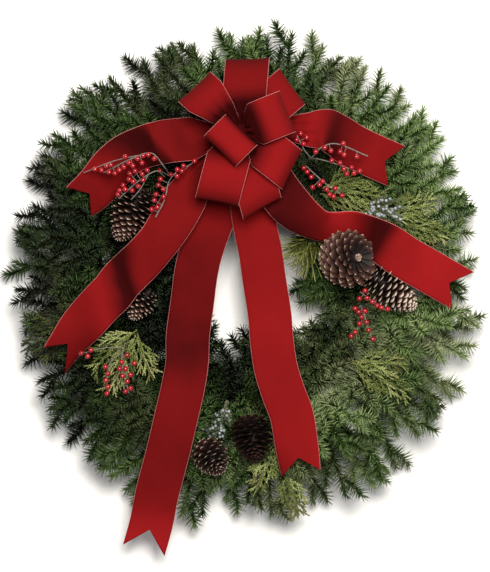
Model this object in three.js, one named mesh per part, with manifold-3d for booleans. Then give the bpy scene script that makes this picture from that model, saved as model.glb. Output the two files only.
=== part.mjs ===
// A fresh evergreen wreath, 27 inch class, lying on its back. Millimetres. +Z comes out of the
// wreath's face and +Y is its top when it hangs. A welded wire ring with clamps holds sixteen
// bunches of fir; cedar, juniper and pine sprays, cones, berry sprigs and a ribbon bow sit on them.
import * as THREE from "three";
import { mergeVertices } from "three/addons/utils/BufferGeometryUtils.js";
import Module from "manifold-3d";

const wasm = await Module();
wasm.setup();

// Driving dimensions
const GAP = 0.3; // clearance between pieces that touch
const CLEAR = 0.5; // clearance that foliage keeps to everything else
const RAIL_IN = 188; // radius of the ring's inner rail
const RAIL_OUT = 228; // radius of the ring's outer rail
const RAIL_WIRE = 4; // height of a rail
const RAIL_STEPS = 28;
const BUNCHES = 16;
const STEM_R = 5.5; // the bound stems of a bunch
const STEM_Z = RAIL_WIRE + GAP + STEM_R * Math.cos(Math.PI / 6);
const CLAMP_WIRE = 3;
const CLAMP_ROOM = 0.7; // between the bound stems and their clamp
const STRIP_W = 8; // the ring's cross strips
const STRIP_T = 3;
const PICK_R = 1.1; // stiff wire or stem that carries a cone or a sprig
const KNEE_Z = 34; // where a pick bends towards what it carries
const TIE_R = 1; // the wire round the bow's knot
const RIBBON_W = 63.5; // two and a half inch ribbon
const RIBBON_T = 1;
const KNOT = [-4, 213, 122]; // the pinch of the bow
const KNOT_R = 11;
const KNOT_LENGTH = 50;
const GATHERED = 0.21; // share of a ribbon's width left at the knot
const LOOP_OPENS = 50; // a loop has its whole width this far from the knot
const TAIL_OPENS = 62;
const NOTCH = 27; // depth of the dovetail in a tail's end
const TAIL_STEP = 25;
const LOOP_STEPS = 8;
const FIR_R = 1.5; // a fir twig's core
const FIR_NEEDLE = 20;
const FIR_WHORL = 29; // how far apart the whorls of needles sit along a twig
const WHORL = 3.2; // the stretch of a twig that a whorl grows from
const BERRY_R = 3.9;
const FINEST = 0.12; // smaller steps than this are smoothed out of a fused piece
const WELD = 2e-3; // corners closer than this are one
const FLOOR_CLEAR = 1.5; // the lowest that a needle may reach
const RIBBON_ROOM = 2.6; // radius of the space kept round a ribbon
const TWIG_ROOM = 1.6; // space kept round a twig's core
const NEEDLE_ROOM = 1;
const NEEDLES_APART = 0.8; // between needles of one node
const FROND_FACING = 0.5; // flat fronds grow only from walls that face their side this much
const LIFTS = [0, -6, 6, -12, 12, -18, 18, -26, -34, 26, -42, -52, -62]; // tried for each twig
const LOWEST_TWIG = 9;

const MATERIALS = {
  wire: new THREE.MeshStandardMaterial({ color: "#3c4a40", roughness: 0.45, metalness: 0.8 }),
  fir: new THREE.MeshStandardMaterial({ color: "#3f5230", roughness: 0.6, metalness: 0 }),
  cedar: new THREE.MeshStandardMaterial({ color: "#8c9a48", roughness: 0.65, metalness: 0 }),
  juniper: new THREE.MeshStandardMaterial({ color: "#6e8468", roughness: 0.65, metalness: 0 }),
  pine: new THREE.MeshStandardMaterial({ color: "#5f7440", roughness: 0.6, metalness: 0 }),
  cone: new THREE.MeshStandardMaterial({ color: "#6b4234", roughness: 0.8, metalness: 0 }),
  berry: new THREE.MeshStandardMaterial({ color: "#c01c2c", roughness: 0.2, metalness: 0 }),
  velvet: new THREE.MeshStandardMaterial({ color: "#9a1f1f", roughness: 0.9, metalness: 0 }),
};

const root = new THREE.Group();
const UP = new THREE.Vector3(0, 0, 1);

// Small helpers

function at(point) {
  return new THREE.Vector3(point[0], point[1], point[2]);
}

function polar(degrees, radius, z) {
  const a = THREE.MathUtils.degToRad(degrees);
  return new THREE.Vector3(radius * Math.cos(a), radius * Math.sin(a), z);
}

// A fixed draw from 0 to 1 for a number, the same in every build.
function draw(seed) {
  const wave = Math.sin(seed * 12.9898 + 78.233) * 43758.5453;
  return wave - Math.floor(wave);
}

function curveThrough(points) {
  return new THREE.CatmullRomCurve3(points, false, "centripetal");
}

function polygon(radius, sides) {
  const corners = [];
  for (let i = 0; i < sides; i += 1) {
    const a = (2 * Math.PI * (i + 0.5)) / sides;
    corners.push(new THREE.Vector2(radius * Math.cos(a), radius * Math.sin(a)));
  }
  return new THREE.Shape(corners);
}

// A closed geometry as a solid, turned inside out first where its faces point inwards.
function solid(geometry) {
  geometry.deleteAttribute("normal");
  geometry.deleteAttribute("uv");
  const merged = mergeVertices(geometry, 1e-3);
  const vertProperties = Float32Array.from(merged.attributes.position.array);
  const triVerts = Uint32Array.from(merged.index.array);
  const corner = (i) => new THREE.Vector3().fromArray(vertProperties, 3 * triVerts[i]);
  let volume = 0;
  for (let t = 0; t < triVerts.length; t += 3) {
    volume += corner(t).dot(corner(t + 1).cross(corner(t + 2)));
  }
  if (volume < 0) {
    for (let t = 0; t < triVerts.length; t += 3) {
      [triVerts[t], triVerts[t + 1]] = [triVerts[t + 1], triVerts[t]];
    }
  }
  return new wasm.Manifold(new wasm.Mesh({ numProp: 3, vertProperties, triVerts }));
}

function largestBody(whole) {
  const bodies = whole.decompose();
  bodies.sort((a, b) => b.volume() - a.volume());
  return bodies[0];
}

// Joins solids that overlap into one body.
function fuse(solids) {
  const joined = solids.reduce((whole, piece) => whole.add(piece));
  return largestBody(joined).simplify(FINEST);
}

function geometryOf(body) {
  const made = body.getMesh();
  const geometry = new THREE.BufferGeometry();
  geometry.setAttribute("position", new THREE.BufferAttribute(made.vertProperties, 3));
  geometry.setIndex(new THREE.BufferAttribute(made.triVerts, 1));
  return geometry;
}

// The triangles that have three separate corners.
function wholeTriangles(geometry) {
  const corners = Array.from(geometry.index.array);
  const kept = [];
  for (let t = 0; t < corners.length; t += 3) {
    const [a, b, c] = corners.slice(t, t + 3);
    if (a !== b && b !== c && c !== a) {
      kept.push(a, b, c);
    }
  }
  return kept;
}

// Corners that lie together are made one, and what that cuts off is dropped.
function addNode(name, body, material) {
  const welded = mergeVertices(geometryOf(body), WELD);
  welded.setIndex(wholeTriangles(welded));
  const geometry = geometryOf(largestBody(solid(welded)));
  geometry.computeVertexNormals();
  const mesh = new THREE.Mesh(geometry, MATERIALS[material]);
  mesh.name = name;
  root.add(mesh);
}

function tube(points, radius, sides, steps) {
  const extrudePath = points.length > 2 ? curveThrough(points) : new THREE.LineCurve3(...points);
  const settings = { steps, bevelEnabled: false, extrudePath };
  return solid(new THREE.ExtrudeGeometry(polygon(radius, sides), settings));
}

// The space that is taken: rounded rods from a to b, each with its owner's name

const taken = [];

function take(owner, a, b, radius) {
  taken.push({ owner, a: a.clone(), b: b.clone(), radius });
}

function takeAlong(owner, points, radius) {
  for (let i = 1; i < points.length; i += 1) {
    take(owner, points[i - 1], points[i], radius);
  }
}

// The least distance between two straight rods' centre lines.
function rodGap(p1, q1, p2, q2) {
  const d1 = q1.clone().sub(p1);
  const d2 = q2.clone().sub(p2);
  const r = p1.clone().sub(p2);
  const a = Math.max(d1.dot(d1), 1e-9);
  const e = Math.max(d2.dot(d2), 1e-9);
  const b = d1.dot(d2);
  const c = d1.dot(r);
  const f = d2.dot(r);
  const spread = a * e - b * b;
  const clamp = (x) => Math.min(1, Math.max(0, x));
  let s = spread > 1e-9 ? clamp((b * f - c * e) / spread) : 0;
  const t = clamp((b * s + f) / e);
  s = clamp((b * t - c) / a);
  return p1.clone().addScaledVector(d1, s).distanceTo(p2.clone().addScaledVector(d2, t));
}

function isFree(owner, a, b, radius) {
  for (const rod of taken) {
    const reach = radius + rod.radius + CLEAR;
    const apart = rod.owner !== owner;
    const near =
      Math.min(a.x, b.x) < Math.max(rod.a.x, rod.b.x) + reach &&
      Math.max(a.x, b.x) > Math.min(rod.a.x, rod.b.x) - reach &&
      Math.min(a.y, b.y) < Math.max(rod.a.y, rod.b.y) + reach &&
      Math.max(a.y, b.y) > Math.min(rod.a.y, rod.b.y) - reach;
    if (apart && near && rodGap(a, b, rod.a, rod.b) < reach) {
      return false;
    }
  }
  return true;
}

// The ring: two flat-bottomed rails, cross strips between them and a clamp for each bunch

const stationStep = 360 / BUNCHES;

function stationAngle(k) {
  return stationStep * (k + 0.35);
}

function rail(radius) {
  const half = RAIL_WIRE / 2;
  const section = [
    [radius - half, 0],
    [radius + half, 0],
    [radius + half, RAIL_WIRE],
    [radius - half, RAIL_WIRE],
    [radius - half, 0],
  ].map(([r, z]) => new THREE.Vector2(r, z));
  return solid(new THREE.LatheGeometry(section, RAIL_STEPS).rotateX(Math.PI / 2));
}

function crossStrip(degrees) {
  const strip = new THREE.BoxGeometry(RAIL_OUT - RAIL_IN + 1, STRIP_W, STRIP_T);
  strip.translate((RAIL_IN + RAIL_OUT) / 2, 0, STRIP_T / 2);
  return solid(strip.rotateZ(THREE.MathUtils.degToRad(degrees)));
}

function clamp(degrees) {
  const inner = STEM_R + CLAMP_ROOM;
  const outer = inner + CLAMP_WIRE;
  const top = STEM_Z + STEM_R + GAP;
  const foot = RAIL_WIRE / 2;
  const arch = new THREE.Shape([
    new THREE.Vector2(-outer, foot),
    new THREE.Vector2(-inner, foot),
    new THREE.Vector2(-inner, top),
    new THREE.Vector2(inner, top),
    new THREE.Vector2(inner, foot),
    new THREE.Vector2(outer, foot),
    new THREE.Vector2(outer, top + CLAMP_WIRE),
    new THREE.Vector2(-outer, top + CLAMP_WIRE),
  ]);
  const bent = new THREE.ExtrudeGeometry(arch, { depth: CLAMP_WIRE, bevelEnabled: false });
  bent.rotateX(Math.PI / 2).rotateZ(Math.PI / 2);
  bent.translate(RAIL_OUT - CLAMP_WIRE / 2, 0, 0);
  return solid(bent.rotateZ(THREE.MathUtils.degToRad(degrees)));
}

function makeRing() {
  const pieces = [rail(RAIL_IN), rail(RAIL_OUT)];
  for (let k = 0; k < BUNCHES; k += 1) {
    pieces.push(clamp(stationAngle(k)));
    if (k % 3 === 0) {
      pieces.push(crossStrip(stationAngle(k) + stationStep / 2));
    }
    const side = (turn) => polar(stationAngle(k) + turn, RAIL_OUT, STEM_Z + STEM_R);
    take("ring", side(-2), side(2), 5);
  }
  for (const radius of [RAIL_IN, RAIL_OUT]) {
    const circle = [];
    for (let i = 0; i <= RAIL_STEPS; i += 1) {
      circle.push(polar((360 * i) / RAIL_STEPS, radius, RAIL_WIRE / 2));
    }
    takeAlong("ring", circle, RAIL_WIRE / 2);
  }
  addNode("wire_ring", fuse(pieces), "wire");
}

// Ribbon: a strip of even thickness along a path, banked by an angle at each point

function ribbonFrame(curve, banks, u) {
  const along = curve.getTangentAt(u);
  const level = new THREE.Vector3().crossVectors(UP, along).normalize();
  const place = u * (banks.length - 1);
  const i = Math.min(Math.floor(place), banks.length - 2);
  const bank = THREE.MathUtils.degToRad(THREE.MathUtils.lerp(banks[i], banks[i + 1], place - i));
  const across = level.applyAxisAngle(along, bank);
  return { along, across, face: new THREE.Vector3().crossVectors(along, across) };
}

// Each station is { centre, across, face, half }, with half the strip's width there.
function strip(stations) {
  const corners = [];
  for (const { centre, across, face, half } of stations) {
    for (const [side, lift] of [[1, 1], [-1, 1], [-1, -1], [1, -1]]) {
      const corner = centre.clone().addScaledVector(across, side * half);
      corners.push(corner.addScaledVector(face, (lift * RIBBON_T) / 2));
    }
  }
  const index = [];
  for (let s = 0; s < stations.length - 1; s += 1) {
    const a = 4 * s;
    const b = a + 4;
    index.push(a, a + 1, b + 1, a, b + 1, b); // upper face
    index.push(a + 3, b + 2, a + 2, a + 3, b + 3, b + 2); // lower face, split alike
    index.push(a, b, b + 3, a, b + 3, a + 3);
    index.push(a + 1, a + 2, b + 2, a + 1, b + 2, b + 1);
  }
  const z = 4 * (stations.length - 1);
  index.push(0, 3, 2, 0, 2, 1, z, z + 1, z + 2, z, z + 2, z + 3);
  const geometry = new THREE.BufferGeometry();
  const flat = corners.flatMap((corner) => corner.toArray());
  geometry.setAttribute("position", new THREE.BufferAttribute(new Float32Array(flat), 3));
  geometry.setIndex(index);
  return solid(geometry);
}

// Foliage keeps off a ribbon's surface, taken as rods along it.
function takeRibbon(owner, stations) {
  for (let side = -1; side <= 1.01; side += 0.2) {
    const edge = stations.map((s) => s.centre.clone().addScaledVector(s.across, side * s.half));
    takeAlong(owner, edge, RIBBON_ROOM);
  }
}

// A dovetail cut in a tail's end
function notch(end, depth) {
  const cut = new THREE.Shape([
    new THREE.Vector2(-depth, 0),
    new THREE.Vector2(depth * 0.4, end.half * 1.4),
    new THREE.Vector2(depth * 0.4, -end.half * 1.4),
  ]);
  const wedge = new THREE.ExtrudeGeometry(cut, { depth: 30, bevelEnabled: false });
  wedge.translate(0, 0, -15);
  const place = new THREE.Matrix4().makeBasis(end.along, end.across, end.face);
  return solid(wedge.applyMatrix4(place.setPosition(end.centre)));
}

// Path points [x, y, z, bank] of each tail, from the knot to its cut end. The bank is in degrees.
const TAILS = {
  tail_upper_left: [[-47, 206, 125, 0], [-83, 201, 128, 0], [-112, 198, 136, 0], [-139, 194, 137, 10],
    [-172, 179, 122, 12], [-194, 160, 108, 5], [-215, 134, 94, 0], [-242, 108, 82, 0]],
  tail_upper_right: [[33, 213, 121, 0], [73, 215, 126, 0], [98, 218, 138, 0], [118, 218, 141, -8],
    [139, 206, 126, -12], [160, 192, 120, 0], [188, 178, 118, 4], [225, 162, 104, 0]],
  tail_right: [[27, 164, 122, 0], [59, 115, 128, 0], [83, 90, 122, -25], [110, 74, 112, -45],
    [135, 71, 110, -50], [160, 71, 122, -35], [181, 62, 132, -5], [204, 49, 124, 5],
    [238, 27, 112, 0], [275, 6, 104, 0], [324, -22, 88, 0]],
  tail_lower_left: [[-37, 163, 114, 0], [-70, 118, 121, 0], [-99, 87, 125, 0], [-124, 53, 122, -18],
    [-149, 24, 122, -14], [-181, -6, 114, 0], [-206, -37, 116, -8], [-234, -67, 106, -10],
    [-258, -98, 92, -20], [-280, -127, 78, -35]],
  tail_long_left: [[-16, 160, 101, 0], [-44, 90, 97, 0], [-62, 41, 94, 0], [-70, 9, 92, 0],
    [-77, -43, 90, 0], [-83, -89, 96, 0], [-84, -126, 108, 10], [-90, -164, 112, 5],
    [-101, -212, 110, 0], [-112, -259, 104, 0], [-130, -324, 86, 0], [-138, -364, 58, 0],
    [-147, -406, 26, 0]],
  tail_long_centre: [[7, 149, 107, 0], [15, 80, 102, 0], [24, 36, 97, 0], [30, -6, 93, 0],
    [38, -58, 92, 0], [41, -95, 100, 0], [47, -136, 113, 0], [58, -172, 116, 0],
    [70, -204, 114, 0], [77, -246, 110, 0], [83, -293, 98, 0]],
};

// Height at the knot, and the direction in which a tail leaves it
const TAIL_ROOT = {
  tail_upper_left: [120, 186],
  tail_upper_right: [116, 0],
  tail_right: [119, 300],
  tail_lower_left: [111, 236],
  tail_long_left: [102, 257],
  tail_long_centre: [106, 280],
};

// The share of its width that a ribbon has at a distance from the knot
function openShare(distance, opens) {
  return Math.min(1, GATHERED + ((1 - GATHERED) * distance) / opens);
}

function tailStations(name) {
  const points = TAILS[name];
  const [z, degrees] = TAIL_ROOT[name];
  const start = polar(degrees, KNOT_R + GAP, z);
  start.x += KNOT[0];
  start.y += KNOT[1];
  const curve = curveThrough([start, ...points.map(at)]);
  const banks = [0, ...points.map((p) => p[3])];
  const length = curve.getLength();
  const count = Math.round(length / TAIL_STEP);
  const stations = [];
  for (let i = 0; i <= count; i += 1) {
    const u = i / count;
    const half = (RIBBON_W / 2) * openShare(u * length, TAIL_OPENS);
    stations.push({ centre: curve.getPointAt(u), half, ...ribbonFrame(curve, banks, u) });
  }
  return stations;
}

function makeTail(name) {
  const stations = tailStations(name);
  const body = strip(stations).subtract(notch(stations.at(-1), NOTCH));
  addNode(name, fuse([body]), "velvet");
  takeRibbon(name, stations);
}

// Bow loops: [direction, reach, direction of the ribbon's edges, low, fold and high heights]
const LOOPS = [
  [85, 105, 92, 140, 154, 172],
  [137, 96, 135, 141, 156, 174],
  [225, 46, 228, 162, 186, 204],
  [22, 72, 22, 152, 176, 196],
  [41, 100, 36, 139, 150, 164],
  [-38, 93, -27, 139, 156, 178],
  [251, 109, 262, 140, 158, 180],
  [285, 117, 300, 136, 148, 166],
];

function loopStations([degrees, reach, edge, low, fold, high]) {
  const knot = new THREE.Vector3(KNOT[0], KNOT[1], 0);
  const out = (share, z) => polar(degrees, reach * share, z).add(knot);
  const root = (KNOT_R - 4) / reach;
  const points = [out(root, 131), out(0.45, low), out(0.88, low + 3), out(1, fold), out(0.86, high - 3),
    out(0.45, high), out(0.16, high - 12), out(root, 137)];
  const curve = curveThrough(points);
  const length = curve.getLength();
  const across = polar(edge + 90, 1, 0);
  const stations = [];
  for (let i = 0; i <= LOOP_STEPS; i += 1) {
    const u = i / LOOP_STEPS;
    const along = curve.getTangentAt(u);
    const face = new THREE.Vector3().crossVectors(along, across).normalize();
    const half = (RIBBON_W / 2) * openShare(Math.min(u, 1 - u) * length, LOOP_OPENS);
    stations.push({ centre: curve.getPointAt(u), half, across, face, along });
  }
  return stations;
}

function makeBow() {
  const [x, y, z] = KNOT;
  const knot = new THREE.CylinderGeometry(KNOT_R, KNOT_R, KNOT_LENGTH, 10).rotateX(Math.PI / 2);
  const pieces = [solid(knot.translate(x, y, z))];
  for (const loop of LOOPS) {
    const stations = loopStations(loop);
    pieces.push(strip(stations));
    takeRibbon("bow_loops", stations);
  }
  take("bow_loops", new THREE.Vector3(x, y, z - 16), new THREE.Vector3(x, y, z + 16), KNOT_R);
  addNode("bow_loops", fuse(pieces), "velvet");
}

// The wire that pinches the bow and ties it down to the ring's outer rail
function makeBowTie() {
  const [x, y, z] = KNOT;
  const low = z - KNOT_LENGTH / 2 + 1.5;
  const around = KNOT_R + GAP + 2 * TIE_R;
  const band = new THREE.TorusGeometry(around, TIE_R, 4, 10).translate(x, y, low);
  const reach = Math.hypot(x, y);
  const degrees = THREE.MathUtils.radToDeg(Math.atan2(y, x));
  const leg = [
    polar(degrees, reach + around, low),
    polar(degrees, RAIL_OUT + 2, low * 0.6),
    polar(degrees, RAIL_OUT, RAIL_WIRE + GAP),
  ];
  takeAlong("bow_tie", leg, TIE_R);
  addNode("bow_tie", fuse([solid(band), tube(leg, TIE_R, 4, 4)]), "wire");
}

// Picks: the stiff wire or bare stem that carries a decoration down to the ring

function footBelow(owner, point) {
  const angle = THREE.MathUtils.radToDeg(Math.atan2(point.y, point.x));
  const radius = Math.hypot(point.x, point.y);
  const rail = Math.abs(radius - RAIL_IN) < Math.abs(radius - RAIL_OUT) ? RAIL_IN : RAIL_OUT;
  for (let turn = 0; turn < 24; turn += 1) {
    const shift = (turn % 2 ? 1 : -1) * Math.ceil(turn / 2);
    for (const side of [rail, RAIL_IN + RAIL_OUT - rail]) {
      const foot = polar(angle + shift, side, RAIL_WIRE + GAP);
      const knee = foot.clone().setZ(KNEE_Z);
      const lifted = foot.clone().setZ(RAIL_WIRE + PICK_R + 1.5);
      if (isFree(owner, lifted, knee, PICK_R) && isFree(owner, knee, point, PICK_R)) {
        return [point, knee, foot];
      }
    }
  }
  throw new Error(`no free foot for ${owner}`);
}

function pick(owner, top) {
  const path = footBelow(owner, top);
  takeAlong(owner, path, PICK_R);
  return tube(path, PICK_R, 3, 3);
}

// Cones: [middle, direction of the tip, length, width]
const CONES = {
  cone_left: [[-166, 95, 98], [-39, -79, -12], 92, 56],
  cone_left_small: [[-152, -40, 88], [-25, -40, -10], 54, 38],
  cone_right_round: [[150, 25, 88], [-22, -10, -60], 70, 78],
  cone_right: [[222, -22, 90], [68, -52, -8], 92, 54],
  cone_lower: [[13, -238, 76], [10, -50, 24], 70, 58],
  cone_lower_small: [[-49, -269, 82], [30, -42, 30], 58, 52],
};
const CONE_SIDES = 8;

function coneProfile(length, width) {
  const half = width / 2;
  const shape = [[0, -0.5], [0.42, -0.47], [0.62, -0.3], [0.66, -0.1], [0.58, 0.1], [0.42, 0.28],
    [0.22, 0.42], [0, 0.48]];
  return shape.map(([r, t]) => new THREE.Vector2(r * half, t * length));
}

// Every four-sided patch of the body is drawn out to a scale that points out and to the tip.
function coneBody(name, length, width) {
  const profile = coneProfile(length, width);
  const rows = profile.length - 1;
  const ring = (row, i) => {
    const angle = (2 * Math.PI * (i + (row % 2) * 0.5)) / CONE_SIDES;
    const r = profile[row].x;
    return new THREE.Vector3(r * Math.cos(angle), r * Math.sin(angle), profile[row].y);
  };
  const triangles = [];
  for (let row = 0; row < rows; row += 1) {
    for (let i = 0; i < CONE_SIDES; i += 1) {
      const shift = row % 2;
      const a = ring(row, i);
      const b = ring(row, i + 1);
      const c = ring(row + 1, i + 1 - (1 - shift));
      const d = ring(row + 1, i + 1 + shift);
      if (row === 0) {
        triangles.push([a, d, c]);
      } else if (row === rows - 1) {
        triangles.push([a, b, c]);
      } else {
        const middle = a.clone().add(b).add(c).add(d).multiplyScalar(0.25);
        const out = new THREE.Vector3(middle.x, middle.y, 0).normalize();
        const long = (width / 2) * 0.34 * (0.85 + 0.3 * draw(row * 31 + i));
        const apex = middle.addScaledVector(out, long);
        apex.z += long * 0.55;
        triangles.push([a, b, apex], [b, d, apex], [d, c, apex], [c, a, apex]);
      }
    }
  }
  const geometry = new THREE.BufferGeometry();
  const flat = triangles.flat().flatMap((p) => p.toArray());
  geometry.setAttribute("position", new THREE.BufferAttribute(new Float32Array(flat), 3));
  return geometry;
}

function makeCone(name) {
  const [middle, tip, length, width] = CONES[name];
  const axis = at(tip).normalize();
  const turn = new THREE.Quaternion().setFromUnitVectors(UP, axis);
  const body = coneBody(name, length, width).applyQuaternion(turn);
  const centre = at(middle);
  for (const [t, share] of [[-0.3, 0.46], [-0.05, 0.5], [0.2, 0.4], [0.42, 0.2]]) {
    const p = centre.clone().addScaledVector(axis, t * length);
    take(name, p, p, width * share);
  }
  const base = centre.clone().addScaledVector(axis, -0.3 * length);
  const under = base.clone().setZ(base.z - width * 0.2);
  const whole = fuse([solid(body.translate(...middle)), pick(name, under)]);
  addNode(name, whole, "cone");
}

// Needled twigs: a slim three-sided core with some of its faces drawn out to needles.
// look is { radius, whorl, needle, lean, each, flat, bare }: the pitch of the whorls, the
// needle's length, its lean forward in degrees, needles in a whorl, the direction that a flat
// frond faces, and the length of bare stem at the root.

const TURNS = [0, 25, -25, 50, -50]; // degrees that a needle is swung to find room
const ownNeedles = [];

// The same path, with its rings set in pairs so that needles grow from the short stretches.
class WhorledPath extends THREE.Curve {
  constructor(base, look) {
    super();
    this.base = base;
    this.length = base.getLength();
    this.count = Math.max(2, Math.round((this.length - look.bare) / look.whorl));
    const pitch = (this.length - look.bare) / this.count;
    this.rings = [0];
    for (let i = 1; i <= this.count; i += 1) {
      const end = look.bare + i * pitch;
      this.rings.push((end - WHORL) / this.length, end / this.length);
    }
  }

  place(u) {
    const i = Math.min(Math.floor(u * 2 * this.count), 2 * this.count - 1);
    return THREE.MathUtils.lerp(this.rings[i], this.rings[i + 1], u * 2 * this.count - i);
  }

  getPointAt(u) {
    return this.base.getPointAt(Math.min(1, this.place(u)));
  }

  getTangentAt(u) {
    return this.base.getTangentAt(Math.min(1, this.place(u)));
  }
}

function drawnOut(owner, curve, look, seed) {
  const path = new WhorledPath(curve, look);
  const steps = 2 * path.count;
  const settings = { steps, bevelEnabled: false, extrudePath: path };
  const geometry = new THREE.ExtrudeGeometry(polygon(look.radius, 3), settings);
  const source = geometry.attributes.position;
  const corner = (i) => new THREE.Vector3().fromBufferAttribute(source, i);
  const out = [];
  for (let t = 0; t < source.count / 3; t += 1) {
    const face = [corner(3 * t), corner(3 * t + 1), corner(3 * t + 2)];
    const wall = t - 2;
    const edge = Math.floor(wall / (2 * steps));
    const step = Math.floor((wall % (2 * steps)) / 2);
    const half = wall % 2;
    const turn = (edge + 3 * half + step + seed) % 6;
    const grows = wall >= 0 && step % 2 === 1 && (look.flat ? half === 0 : turn < look.each);
    const apex = grows ? needleTip(owner, path, face, (step + 0.5) / steps, half, look) : null;
    if (apex) {
      for (let k = 0; k < 3; k += 1) {
        out.push(face[k], face[(k + 1) % 3], apex);
      }
    } else {
      out.push(...face);
    }
  }
  const raised = new THREE.BufferGeometry();
  const flat = out.flatMap((p) => p.toArray());
  raised.setAttribute("position", new THREE.BufferAttribute(new Float32Array(flat), 3));
  return solid(raised);
}

// The end of a needle that is clear of everything else, or nothing where there is no room.
function needleTip(owner, path, face, u, half, look) {
  const foot = face[0].clone().add(face[1]).add(face[2]).divideScalar(3);
  const along = path.getTangentAt(u);
  const radial = foot.clone().sub(path.getPointAt(u));
  radial.addScaledVector(along, -radial.dot(along)).normalize();
  const lean = THREE.MathUtils.degToRad(look.lean);
  if (look.flat) {
    const side = new THREE.Vector3().crossVectors(look.flat, along).normalize();
    const facing = radial.dot(side);
    if (Math.abs(facing) < FROND_FACING) {
      return null;
    }
    radial.multiplyScalar(0.25).addScaledVector(side, Math.sign(facing)).normalize();
  } else {
    radial.applyAxisAngle(along, half === 0 ? 0.5 : -0.5);
  }
  const long = look.needle * (1 - 0.3 * u * u);
  for (const turn of look.flat ? [0, 15, -15] : TURNS) {
    const swing = radial.clone().applyAxisAngle(along, THREE.MathUtils.degToRad(turn));
    const heading = swing.multiplyScalar(Math.cos(lean)).addScaledVector(along, Math.sin(lean));
    const tip = foot.clone().addScaledVector(heading, long);
    const near = foot.clone().addScaledVector(heading, long * 0.22);
    const low = Math.min(tip.z, near.z);
    const free = low > FLOOR_CLEAR && isFree(owner, near, tip, NEEDLE_ROOM);
    if (free && isClearOfOwn(owner, near, tip)) {
      take(owner, near, tip, NEEDLE_ROOM);
      ownNeedles.push({ owner, near, tip });
      return tip;
    }
  }
  return null;
}

function isClearOfOwn(owner, near, tip) {
  const clear = (n) => rodGap(near, tip, n.near, n.tip) > NEEDLES_APART;
  return ownNeedles.every((n) => n.owner !== owner || clear(n));
}

// A twig of a node: where its core has no room it is lifted or lowered, and left out at last.
function layTwig(owner, from, via, to, radius) {
  for (const lift of LIFTS) {
    const end = to.clone().setZ(Math.max(LOWEST_TWIG, to.z + lift));
    const middle = via.clone().setZ(Math.max(LOWEST_TWIG, via.z + lift * 0.6));
    const curve = curveThrough([from, middle, end]);
    const points = curve.getSpacedPoints(8);
    const room = (i) => (i === 0 ? CLEAR : radius + TWIG_ROOM);
    const clear = points.slice(1).every((p, i) => isFree(owner, points[i], p, room(i)));
    if (clear) {
      takeAlong(owner, points, radius + TWIG_ROOM);
      return curve;
    }
  }
  return null;
}

// Fir bunches. Each row: the outer tips as [angle, reach] three times, from low to high, then
// the face twig's tip and the inner twig's tip.
const FIR = [
  [[1.5, 343], [15.8, 362], [10.6, 330], [9, 290], [4, 104]],
  [[26.5, 359], [38.5, 361], [34.6, 365], [31, 300], [27, 118]],
  [[46.2, 361], [59.8, 365], [52.7, 361], [54, 285], [49, 124]],
  [[71, 368], [84.6, 364], [78.8, 373], [76, 300], [73, 130]],
  [[93.2, 366], [107.2, 366], [102.5, 356], [100, 305], [96, 132]],
  [[115, 361], [130.8, 376], [124.1, 361], [121, 290], [119, 128]],
  [[135.5, 359], [149.2, 358], [143.2, 358], [141, 280], [141, 116]],
  [[153.5, 344], [167.3, 343], [161.6, 336], [165, 300], [164, 104]],
  [[176.6, 348], [190.7, 336], [183.5, 344], [188, 285], [186, 96]],
  [[199, 340], [214.6, 357], [207.3, 348], [210, 300], [208, 96]],
  [[221, 350], [230.2, 360], [226.4, 348], [233, 290], [231, 104]],
  [[241.2, 372], [255.4, 374], [249, 352], [252, 300], [253, 116]],
  [[265.4, 350], [276.6, 362], [271, 350], [279, 285], [276, 124]],
  [[287, 358], [301.7, 374], [294.9, 366], [297, 300], [298, 120]],
  [[308.4, 372], [323.2, 358], [317.7, 358], [321, 290], [321, 108]],
  [[329.8, 365], [346.8, 351], [340.1, 357], [341, 300], [344, 102]],
];
const HEIGHTS = [[13, 15], [34, 44], [52, 76], [70, 100], [24, 40]]; // of a twig's middle and tip
const FIR_LOOK = {
  radius: FIR_R, whorl: FIR_WHORL, needle: FIR_NEEDLE, lean: 38, each: 5, bare: 12,
};

function bunchName(k) {
  return `fir_bunch_${String(k + 1).padStart(2, "0")}`;
}

function boundStems(k) {
  const length = RAIL_OUT - RAIL_IN + 20;
  const stem = new THREE.CylinderGeometry(STEM_R, STEM_R, length, 6).rotateY(Math.PI / 6);
  stem.rotateZ(Math.PI / 2).translate((RAIL_IN + RAIL_OUT) / 2, 0, STEM_Z);
  return solid(stem.rotateZ(THREE.MathUtils.degToRad(stationAngle(k))));
}

function takeStems() {
  for (let k = 0; k < BUNCHES; k += 1) {
    const from = polar(stationAngle(k), RAIL_IN - 10, STEM_Z);
    take(bunchName(k), from, polar(stationAngle(k), RAIL_OUT + 10, STEM_Z), STEM_R - 0.6);
  }
}

// The five twigs of a bunch leave its bound stems: three outwards, one up and one inwards.
function bunchTwigs(k) {
  const angle = stationAngle(k);
  const curves = [];
  FIR[k].forEach(([tipAngle, reach], j) => {
    const [middleZ, tipZ] = HEIGHTS[j];
    const root = j === 4 ? RAIL_IN - 6 : j === 3 ? RAIL_IN + 24 : RAIL_OUT + 5;
    const height = j === 3 ? STEM_Z + 2 : STEM_Z + (j === 4 ? 0 : j - 1);
    const share = j === 4 ? 0.45 : 0.4;
    const middleR = root + (reach - root) * share;
    const middleAngle = angle + (tipAngle - angle) * 0.62;
    const from = polar(angle, root, height);
    const curve = layTwig(bunchName(k), from, polar(middleAngle, middleR, middleZ),
      polar(tipAngle, reach - 5, tipZ + 10 * draw(k * 7 + j) - 5), FIR_R);
    if (curve) {
      curves.push(curve);
    }
  });
  return curves;
}

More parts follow.
